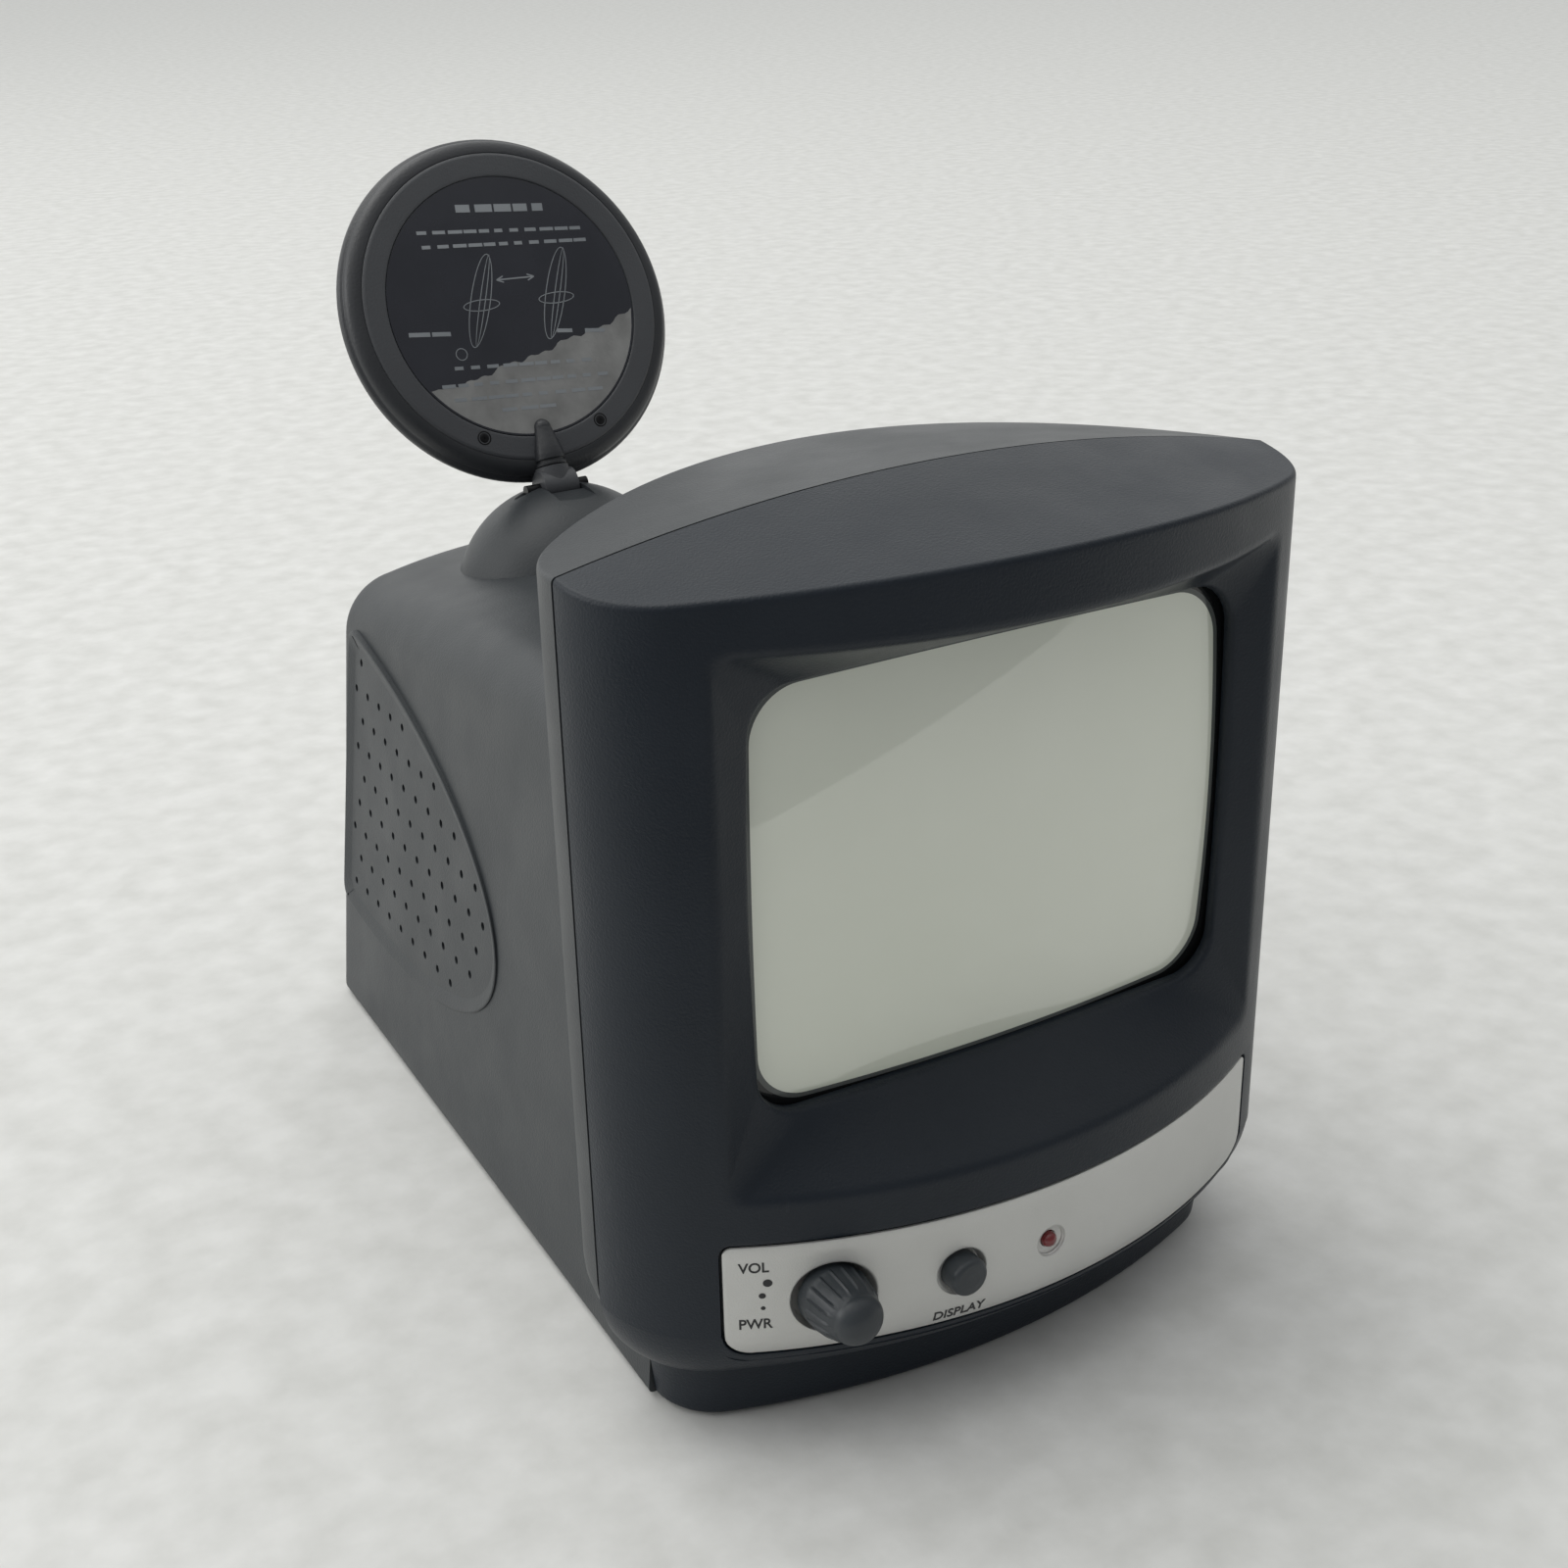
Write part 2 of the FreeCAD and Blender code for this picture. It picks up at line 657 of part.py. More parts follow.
def make_grille(side, label):
    """Perforated insert, set a little below the wall around it."""
    deep = size("grille_deep")
    insert = leaf(0, -deep - size("grille_thick"), -deep)
    pitch = size("grille_pitch")
    rows = int(size("grille_wide") / pitch)
    cols = int(size("grille_long") / pitch)
    drills = []
    for row in range(-rows, rows + 1):
        for col in range(-cols, cols + 1):
            u = pitch * (col + 0.5 * (row % 2))
            v = pitch * row
            if (u / (size("grille_long") - 4)) ** 2 + (v / (size("grille_wide") - 4)) ** 2 < 1:
                drills.append(Part.makeCylinder(size("grille_hole"), 8, Vec(u, v, -deep - 4)))
    insert = insert.cut(drills)
    insert.Placement = grille_frame(side)
    return feature(insert, label)


def pivot_drill(radius):
    return Part.makeCylinder(radius, 60, Vec(-30, pivot_y(), size("pivot_z")), Vec(1, 0, 0))


def make_rear_casing():
    wall = size("wall")
    outer = head_half_solid(0, 1).fuse(body_solid(0))
    cavity = head_half_solid(wall, 1)
    cavity = cavity.fuse(cavity.translated(Vec(0, -1, 0))).fuse(body_solid(wall))
    keep = Part.makeBox(400, 400, 400, Vec(-200, size("joint_gap"), -100))
    shell = outer.cut(cavity)
    # bosses for the upper casing screws, inside the head
    for side in (-1, 1):
        at = Vec(side * casing_screw_x(), 0, casing_screw_z())
        shell = shell.fuse(Part.makeCylinder(5.4, 60, at, Vec(0, 1, 0)).common(outer))
        shell = shell.cut(Part.makeCylinder(1.8, 60, at, Vec(0, 1, 0)))
        shell = shell.cut(Part.makeCylinder(3.4, 60, at + Vec(0, 10, 0), Vec(0, 1, 0)))
    shell = shell.common(keep)
    # posts for the main board
    for x, y in board_screw_spots():
        low = size("floor_gap") + 1
        post = Part.makeCylinder(3.2, size("board_z") - low, Vec(x, y, low), Vec(0, 0, 1))
        drill = Part.makeCylinder(1.25, 10, Vec(x, y, size("board_z") - 9), Vec(0, 0, 1))
        shell = shell.fuse(post).cut(drill)
    # the roof is open under the antenna dome
    ball = Part.makeSphere(size("dome_rad") + 0.3,
                           Vec(0, dome_y(), size("dome_top") - size("dome_rad")))
    shell = shell.cut(ball)
    for side in (-1, 1):
        opening = leaf(0.2, -8, 8)
        opening.Placement = grille_frame(side)
        shell = shell.cut(opening)
    back = size("body_end") - 8
    along = Vec(0, 1, 0)
    holes = [(size("video_x"), size("jack_z"), size("jack_rad") + 1.2),
             (size("power_x"), size("jack_z"), size("power_rad") + 0.3)]
    holes += [(x, size("trim_z"), size("trim_rad") + 0.5) for x in trim_xs()]
    for x, z, radius in holes:
        shell = shell.cut(Part.makeCylinder(radius, 20, Vec(x, back, z), along))
    shell = shell.cut(Part.makeBox(16, 20, 5, Vec(size("switch_x") - 8, back, size("jack_z") - 2.5)))
    return feature(shell, "rear_casing")


def board_half(y):
    """Half width of the main board at this depth."""
    share = y / size("body_end")
    low = size("foot_half") + (size("body_half_end") - size("foot_half")) * share
    return low - size("board_side") + 9 * share


def board_y(share):
    """Depth of a place on the main board, from 0 at its front edge to 1 at its back edge."""
    back = size("body_end") - size("board_behind")
    return size("board_front") + (back - size("board_front")) * share


def board_screw_spots():
    spots = []
    for y in (board_y(0) + 8, board_y(1) - 10):
        spots += [(-board_half(y) + 4, y), (board_half(y) - 4, y)]
    return spots


# ---- control panel -----------------------------------------------------------------------------

def make_control_panel():
    panel = panel_band(0, size("panel_low"), size("panel_high"), 0, size("panel_thick"))
    z = size("control_z")
    for x, radius, deep in ((size("knob_x"), knob_recess(), 4.0),
                            (size("button_x"), size("button_rad") + 2, 2.0),
                            (size("led_x"), size("led_rad") + 1.8, 1.6)):
        cup = out_rod(x, z, radius, -deep - 3.4, 6).cut(
            panel_band(20, size("panel_low") - 9, size("panel_high") + 9, -20, 0))
        bowl = Part.makeCone(radius - 1.2, radius + 1.2, deep + 6, Vec(x, front_y(x) + deep, z),
                             Vec(0, -1, 0))
        panel = panel.fuse(cup).cut(bowl)
    panel = panel.cut(out_rod(size("knob_x"), z, size("shaft_rad") + 1.5, -14, 3))
    panel = panel.cut(out_rod(size("button_x"), z, size("button_rad") + 0.3, -14, 3))
    panel = panel.cut(out_rod(size("led_x"), z, size("led_rad") + 0.1, -14, 3))
    return feature(max(panel.Solids, key=lambda part: part.Volume), "control_panel")


def face_forward(obj, x, front):
    """Turn a piece so that its own Z points forward, its base this far in front of the parting plane."""
    obj.Placement = FreeCAD.Placement(Vec(x, -front, size("control_z")),
                                      FreeCAD.Rotation(Vec(1, 0, 0), 90))
    return obj


def make_controls():
    board_y = size("front_board_y")
    board = plate("front_board", [("knob_x - 13", "24.6"), ("led_x + 9", "24.6"),
                                  ("led_x + 9", "48"), ("knob_x - 13", "48")],
                  "board_thick", ("0", "0", "0"))
    for letter in "xyz":
        board.setExpression("Placement.Base." + letter, None)
    board.Placement = FreeCAD.Placement(Vec(0, -board_y + size("board_thick"), 0),
                                        FreeCAD.Rotation(Vec(1, 0, 0), 90))
    node(board, "front_board")
    # the pot: a can on the board with its shaft through a bush
    can = 7.0
    pot = turned("volume_pot", [
        ("shaft_rad + running_gap", "0"), ("8.5", "0"), ("8.5", str(can)), ("4.4", str(can)),
        ("4.4", str(can + 3)), ("shaft_rad + running_gap", str(can + 3))])
    node(face_forward(pot, size("knob_x"), board_y + 0.02), "volume_pot")
    knob_tip = -front_y(size("knob_x")) + size("knob_proud")
    knob_base = knob_tip - size("knob_long")
    grip = 8.0
    shaft = turned("volume_shaft", [
        ("0", "0"), ("shaft_rad", "0"), ("shaft_rad", str(knob_base + grip - board_y - 0.6)),
        ("0", str(knob_base + grip - board_y - 0.6))])
    node(face_forward(shaft, size("knob_x"), board_y + 0.6), "volume_shaft")
    # the knob: a socket on the shaft, a fluted bullet outside
    knob = turned("knob_blank", [
        ("shaft_rad", "0"), ("knob_rad", "0"), ("knob_rad", "3"), ("knob_rad * 0.94", "9"),
        ("knob_rad * 0.72", "knob_long - 5"), ("knob_rad * 0.5", "knob_long - 1.4"),
        ("knob_rad * 0.25", "knob_long"), ("0", "knob_long"), ("0", str(grip)),
        ("shaft_rad", str(grip))])
    flutes = []
    for k in range(6):
        flute = doc.addObject("Part::Cylinder", "flute")
        flute.Radius = 2.2
        bind(flute, "Height", "knob_long")
        turn = math.radians(60 * k)
        reach = size("knob_rad") + 1.2
        flute.Placement = FreeCAD.Placement(Vec(reach * math.cos(turn), reach * math.sin(turn), 4),
                                            FreeCAD.Rotation())
        flutes.append(flute)
    fluted = carve(knob, *flutes)
    node(face_forward(fluted, size("knob_x"), knob_base), "volume_knob")
    # the display button on its switch
    button_tip = -front_y(size("button_x")) + size("button_proud")
    switch_high = 4.0
    switch_play = size("button_travel") + 0.3
    stack = board_y + 0.02 + switch_high + switch_play
    long = button_tip - stack
    button = turned("display_button", [
        ("0", "0"), ("button_rad - 2", "0"), ("button_rad - 2", "4"), ("button_rad", "4"),
        ("button_rad", str(long - 2.6)), ("button_rad * 0.7", str(long - 0.7)), ("0", str(long))])
    node(face_forward(button, size("button_x"), stack), "display_button")
    plunger = turned("switch_plunger", [
        ("0", "0"), ("1.7", "0"), ("1.7", str(switch_play + 1.4)), ("0", str(switch_play + 1.4))])
    node(face_forward(plunger, size("button_x"), stack - switch_play - 1.4), "switch_plunger")
    switch = turned("display_switch", [
        ("0", "0"), ("4.2", "0"), ("4.2", str(switch_high)), ("1.7 + running_gap", str(switch_high)),
        ("1.7 + running_gap", "1"), ("0", "1")])
    node(face_forward(switch, size("button_x"), board_y + 0.02), "display_switch")
    # the lamp in its holder
    lamp_tip = -front_y(size("led_x")) + 0.4
    lamp = turned("power_led", [
        ("0", "0"), ("led_rad + 0.4", "0"), ("led_rad + 0.4", "1"), ("led_rad", "1"),
        ("led_rad", "5"), ("led_rad * 0.7", "6.4"), ("0", "7")])
    node(face_forward(lamp, size("led_x"), lamp_tip - 7), "power_led")
    tall = str(lamp_tip - 7.05 - board_y)
    holder = turned("led_holder", [
        ("0.8", "0.02"), ("led_rad + 0.3", "0.02"), ("led_rad + 0.3", tall), ("0.8", tall)])
    node(face_forward(holder, size("led_x"), board_y), "led_holder")


# ---- picture tube ------------------------------------------------------------------------------

def tube_ring(y, half_wide, half_high, corner):
    middle = window_middle()
    return rounded_window(half_wide, middle - half_high, middle + half_high, corner, y)


def face_y():
    """Front edge of the tube face."""
    return -size("window_back") + size("wall") + size("tube_gap")


def tube_rings(inset, start):
    """Sections of the bulb from the face back to the end of the neck."""
    wide = tube_half_wide() - inset
    high = tube_half_high() - inset
    neck = size("neck_rad") - inset * 0.6
    skirt = face_y() + size("tube_skirt")
    corner = size("face_round")
    rings = [tube_ring(start, wide - 1, high - 1, corner), tube_ring(start + 3, wide, high, corner),
             tube_ring(skirt, wide, high, corner)]
    for share in (0.25, 0.5, 0.75, 1.0):
        fall = 1 - (1 - share) ** 1.5
        half_wide = wide + (neck - wide) * fall
        half_high = high + (neck - high) * fall
        bend = corner + (neck * 0.96 - corner) * fall
        rings.append(tube_ring(skirt + size("funnel_long") * share, half_wide, half_high,
                               min(bend, half_high * 0.96)))
    return rings


def face_ball(shift):
    """Ball whose front is the bulging face."""
    radius = tube_half_wide() ** 2 / (2 * size("face_bulge"))
    middle = window_middle()
    centre = Vec(0, face_y() - size("face_bulge") + radius + shift, middle)
    return Part.makeSphere(radius, centre)


def make_tube():
    neck_start = face_y() + size("tube_skirt") + size("funnel_long")
    neck_end = face_y() + size("tube_long")
    middle = window_middle()
    front = face_y()
    outer = loft([tube_ring(front - size("face_bulge") - 1, tube_half_wide() - 1,
                            tube_half_high() - 1, size("face_round"))] + tube_rings(0, front))
    inner = loft(tube_rings(size("glass"), front - 8))
    outer = outer.common(face_ball(0))
    neck = Part.makeCylinder(size("neck_rad"), neck_end - neck_start, Vec(0, neck_start, middle),
                             Vec(0, 1, 0))
    bore = Part.makeCylinder(size("neck_rad") - size("glass") * 0.6, neck_end - neck_start,
                             Vec(0, neck_start - 2, middle), Vec(0, 1, 0))
    bulb = outer.fuse(neck).cut(inner.common(face_ball(6))).cut(bore)
    feature(bulb.removeSplitter(), "crt_bulb")
    # the phosphor coats the inside of the face
    coat = loft([tube_ring(y, tube_half_wide() - 5, tube_half_high() - 5, 10)
                 for y in (front - 8, front + 14)])
    coat = coat.common(face_ball(6.02)).cut(face_ball(6.4))
    feature(coat, "crt_phosphor")
    # tension band round the skirt, with an ear at each corner
    start = ear_y()
    end = start + 10
    grow = size("band_thick")
    corner = size("face_round")
    band = loft([tube_ring(y, tube_half_wide() + grow, tube_half_high() + grow, corner + grow)
                 for y in (start, end)])
    band = band.cut(loft([tube_ring(y, tube_half_wide(), tube_half_high(), corner)
                          for y in (start - 1, end + 1)]))
    for side in (-1, 1):
        for z in tube_screw_heights():
            ear = Part.makeBox(9, 1.2, 9, Vec(side * tube_screw_x() - 4.5, start, z - 4.5))
            hug = loft([tube_ring(y, tube_half_wide(), tube_half_high(), corner)
                        for y in (start - 1, end + 1)])
            hole = Part.makeCylinder(1.8, 20, Vec(side * tube_screw_x(), start - 5, z), Vec(0, 1, 0))
            band = band.fuse(ear.cut(hug).cut(hole))
    feature(band.removeSplitter(), "crt_band")
    return neck_start, neck_end, middle


def make_neck_parts(neck_start, neck_end, middle):
    z = str(middle)
    gun = turned("electron_gun", [
        ("0", "0"), ("3", "0"), ("3", "8"), ("5.5", "8"), ("5.5", "20"), ("4", "20"), ("4", "24"),
        ("6.5", "24"), ("6.5", "40"), ("0", "40")], ("0", str(neck_end - 8), z), "-y")
    node(gun, "electron_gun")
    base = turned("crt_base", [
        ("0", "0"), ("neck_rad - 0.4", "0"), ("neck_rad - 0.4", "2"), ("neck_rad - 4", "2"),
        ("neck_rad - 4", "5"), ("0", "5")], ("0", str(neck_end + 0.05), z), "y")
    node(base, "crt_base")
    socket = carve(rod(("0", str(neck_end + 5.2), z), "11", "8", "y"),
                   rod(("0", str(neck_end + 5.0), z), "2", "9", "y"))
    node(socket, "neck_socket")
    board = carve(block(("-24", str(neck_end + 13.4), z + " - 28"), ("48", "board_thick", "36")),
                  rod(("0", str(neck_end + 10), z), "6", "9", "y"))
    node(board, "neck_board")
    start = str(neck_start)
    core = turned("yoke_core", [
        ("neck_rad + 4", "0"), ("neck_rad + 8", "0"), ("neck_rad + 8", "6"), ("neck_rad + 12.6", "22"),
        ("neck_rad + 8.6", "22"), ("neck_rad + 4", "6")], ("0", start + " + 16", z), "-y")
    node(core, "yoke_core")
    coils = turned("yoke_coils", [
        ("neck_rad + 0.4", "0"), ("neck_rad + 3.6", "0"), ("neck_rad + 3.6", "10"),
        ("neck_rad + 4.4", "13"), ("neck_rad + 1.4", "13"), ("neck_rad + 0.4", "10")],
        ("0", start + " + 20", z), "-y")
    node(coils, "yoke_coils")
    clamp = carve(tube(("0", start + " + 24", z), "neck_rad + 3.4", "neck_rad + 0.1", "5", "y"),
                  block(("-1.5", start + " + 23", z), ("3", "8", "20")))
    node(clamp, "yoke_clamp")
    rings = []
    for k in range(2):
        at = ("0", start + " + %g" % (31 + 3 * k), z)
        ring = tube(at, "neck_rad + 6", "neck_rad + 0.2", "1.6", "y")
        tab = block(("neck_rad + 4", start + " + %g" % (31 + 3 * k), z + " - %g" % (2 + 4 * k)),
                    ("10", "1.6", "4"))
        rings.append(join(ring, tab))
    node(group(*rings), "centring_rings")


def bent_rod(points, radius, label):
    """Round lead along straight runs joined by tangent arcs."""
    edges = []
    start = points[0]
    for k in range(1, len(points) - 1):
        before = (points[k] - points[k - 1])
        after = (points[k + 1] - points[k])
        run = 0.45 * min(before.Length, after.Length)
        a = points[k] - before.normalize() * run
        c = points[k] + after.normalize() * run
        half_turn = before.getAngle(after) / 2
        bend = run / math.tan(half_turn)
        out = (after - before).normalize()
        centre = points[k] + out * (bend / math.cos(half_turn))
        b = centre - out * bend
        edges.append(Part.LineSegment(start, a).toShape())
        edges.append(Part.Arc(a, b, c).toShape())
        start = c
    edges.append(Part.LineSegment(start, points[-1]).toShape())
    path = Part.Wire(edges)
    way = (points[1] - points[0]).normalize()
    ring = Part.Wire([Part.Circle(points[0], way, radius).toShape()])
    return feature(path.makePipeShell([ring], True, False), label)


# ---- boards and chassis ------------------------------------------------------------------------

def make_chassis():
    tall = "board_z + board_thick"
    spots = board_screw_spots()
    front, back = board_y(0), board_y(1)
    corners = [(-board_half(front), front), (board_half(front), front),
               (board_half(back), back), (-board_half(back), back)]
    board = plate("main_board", [(str(x), str(y)) for x, y in corners], "board_thick",
                  ("0", "0", "board_z"), [(str(x), str(y), "1.6") for x, y in spots])
    node(board, "main_board")
    x, y = flyback_spot()
    flyback = join(block((str(x - 13), str(y - 15), tall), ("26", "30", "30")),
                   rod((str(x), str(y), tall + " + 30"), "10", "14"),
                   taper((str(x), str(y), tall + " + 44"), "10", "4", "5"))
    node(flyback, "flyback_transformer")
    y = board_y(0.232)
    fins = [block(("-44", str(y), tall), ("2", "40", "34"))]
    for k in range(6):
        fins.append(block(("-42", str(y + 2 + 7 * k), tall), ("9", "1.4", "34")))
    node(join(*fins), "heat_sink")
    transistor = carve(block(("-47.4", str(y + 14), tall + " + 6"), ("3.3", "10", "16")),
                       rod(("-48", str(y + 19), tall + " + 18"), "1.6", "5", "x"))
    node(transistor, "output_transistor")
    cans = []
    for x, share, radius, height in ((-20, 0.232, 8, 26), (-2, 0.232, 6.5, 20), (-20, 0.378, 5, 14),
                                     (4, 0.378, 5, 16)):
        cans.append(rod((str(x), str(board_y(share)), tall), str(radius), str(height)))
    node(group(*cans), "filter_capacitors")
    y = receiver_front()
    can = carve(block(("-46", str(y), tall), ("38", "44", "16")),
                block(("-45.2", str(y + 0.8), tall + " - 1"), ("36.4", "42.4", "16.2")))
    node(can, "receiver_can")
    chips = [block((str(x), str(board_y(share)), tall), (str(wide), str(deep), "3"))
             for x, share, wide, deep in ((2, 0.671, 10, 8), (2, 0.78, 8, 14))]
    node(group(*chips), "board_chips")


def flyback_spot():
    return 29.0, board_y(0.567)


def receiver_front():
    """Front wall of the receiver can."""
    return board_y(0.549)


def make_rear_controls():
    tall = "board_z + board_thick"
    end = "body_end"
    back = "body_end - wall"
    post = "jack_z - board_z - board_thick"
    # video jack: a collar in the wall, a sleeve outside and a square block on the board
    video = join(
        carve(join(rod(("video_x", back + " - 4", "jack_z"), "jack_rad + 0.8", "wall + 4", "y"),
                   rod(("video_x", end, "jack_z"), "jack_rad", "jack_proud", "y")),
              rod(("video_x", end + " - 2", "jack_z"), "1.7", "jack_proud + 4", "y")),
        block(("video_x - 5", back + " - 12", tall), ("10", "8.2", post + " + 5")))
    node(video, "video_jack")
    # power jack: barrel socket with a centre pin
    power = join(
        carve(rod(("power_x", back + " - 11", "jack_z"), "power_rad", "wall + 11", "y"),
              rod(("power_x", back + " - 8", "jack_z"), "2.9", "wall + 9", "y")),
        rod(("power_x", back + " - 9", "jack_z"), "1", "wall + 8", "y"),
        block(("power_x - 4.5", back + " - 11", tall), ("9", "8", post + " - 4")))
    node(power, "power_jack")
    # channel switch: a body on the board and a slider through a slot in the wall
    body = carve(block(("switch_x - 9", back + " - 9", tall), ("18", "7", post + " + 4")),
                 block(("switch_x - 6.4", back + " - 6", "jack_z - 1.9"), ("12.8", "6", "3.8")))
    node(body, "channel_switch")
    slider = join(block(("switch_x - 5.9", back + " - 5", "jack_z - 1.6"), ("3.8", "4", "3.2")),
                  block(("switch_x - 5.5", back + " - 2", "jack_z - 1.4"), ("3", "wall + 3.2", "2.8")))
    node(slider, "channel_slider")
    cans = [tube((str(x), back + " - 14", "trim_z"), "5.5", "1.6 + running_gap", "5", "y")
            for x in trim_xs()]
    node(group(*cans), "trimmers")
    for name, x in zip(("brightness", "contrast", "hold"), trim_xs()):
        knob = turned(name + "_spindle", [
            ("0", "0"), ("1.6", "0"), ("1.6", "8"), ("trim_rad", "8"),
            ("trim_rad", "18"), ("trim_rad - 0.6", "18.6"), ("0", "18.6")],
            (str(x), back + " - 15", "trim_z"), "y")
        slot = block((str(x - 2.6), back + " + 2.6", "trim_z - 0.5"), ("5.2", "2", "1"))
        node(carve(knob, slot), name + "_knob")
    board = carve(block(("-trim_pitch - 12", back + " - 15.8", "trim_z - 9"),
                        ("trim_pitch * 2 + 24", "board_thick", "18")),
                  *[rod((str(x), back + " - 17", "trim_z"), "2.4", "4", "y") for x in trim_xs()])
    node(board, "trimmer_board")


def make_speaker():
    """Round loudspeaker behind the left grille, leaning with the wall."""
    y = size("grille_y") - 2
    z = size("grille_z") - 6
    inward = wall_inward(-1)
    base = Vec(-wall_x(y, z), y, z) + inward * (size("wall") + 1.2)
    shapes = {
        "speaker_frame": [("22", "0"), ("25", "0"), ("25", "2"), ("17", "12"), ("12", "12"), ("12", "11"),
                          ("16", "11"), ("22", "1.6")],
        "speaker_cone": [("0", "4.4"), ("8", "8.4"), ("21.4", "1"), ("21.4", "0.2"), ("8", "7.4"), ("0", "3.4")],
        "speaker_magnet": [("0", "12.1"), ("15", "12.1"), ("15", "19"), ("0", "19")],
    }
    for label, corners in shapes.items():
        piece = turned(label, corners)
        piece.Placement = FreeCAD.Placement(base, FreeCAD.Rotation(Vec(0, 0, 1), inward))
        node(piece, label)


def make_fasteners():
    screws = []
    for side in (-1, 1):
        x = str(side * casing_screw_x())
        z = str(casing_screw_z())
        screws.append(join(rod((x, "-8", z), "1.5", "18", "y"), rod((x, "10", z), "3.2", "2.2", "y")))
    node(group(*screws), "casing_screws")
    heads = []
    for x, y in board_screw_spots():
        heads.append(join(rod((str(x), str(y), "board_z - 7"), "1.2", "board_thick + 7"),
                          rod((str(x), str(y), "board_z + board_thick"), "2.6", "1.8")))
    node(group(*heads), "board_screws")
    tube_screws = []
    ear = ear_y() + 1.2
    for side in (-1, 1):
        for z in tube_screw_heights():
            x = str(side * tube_screw_x())
            tube_screws.append(join(rod((x, str(ear - 7.5), str(z)), "1.25", "7.5", "y"),
                                    rod((x, str(ear), str(z)), "3.2", "2", "y")))
    node(group(*tube_screws), "crt_screws")
    pads = []
    back = size("body_end") - size("pad_in")
    back_x = size("body_half_end") - size("pad_in") + 5
    for side in (-1, 1):
        for x, y in ((size("foot_half") - size("pad_in"), -6), (back_x, back)):
            pads.append(rod((str(side * x), str(y), "0"), "foot_pad_rad", "floor_gap"))
    node(group(*pads), "rubber_feet")


# ---- antenna -----------------------------------------------------------------------------------

def lean_placement():
    """Origin on the tilt axis, Z up along the stem."""
    turn = FreeCAD.Rotation(Vec(1, 0, 0), -size("antenna_lean"))
    return FreeCAD.Placement(Vec(0, pivot_y(), size("pivot_z")), turn)


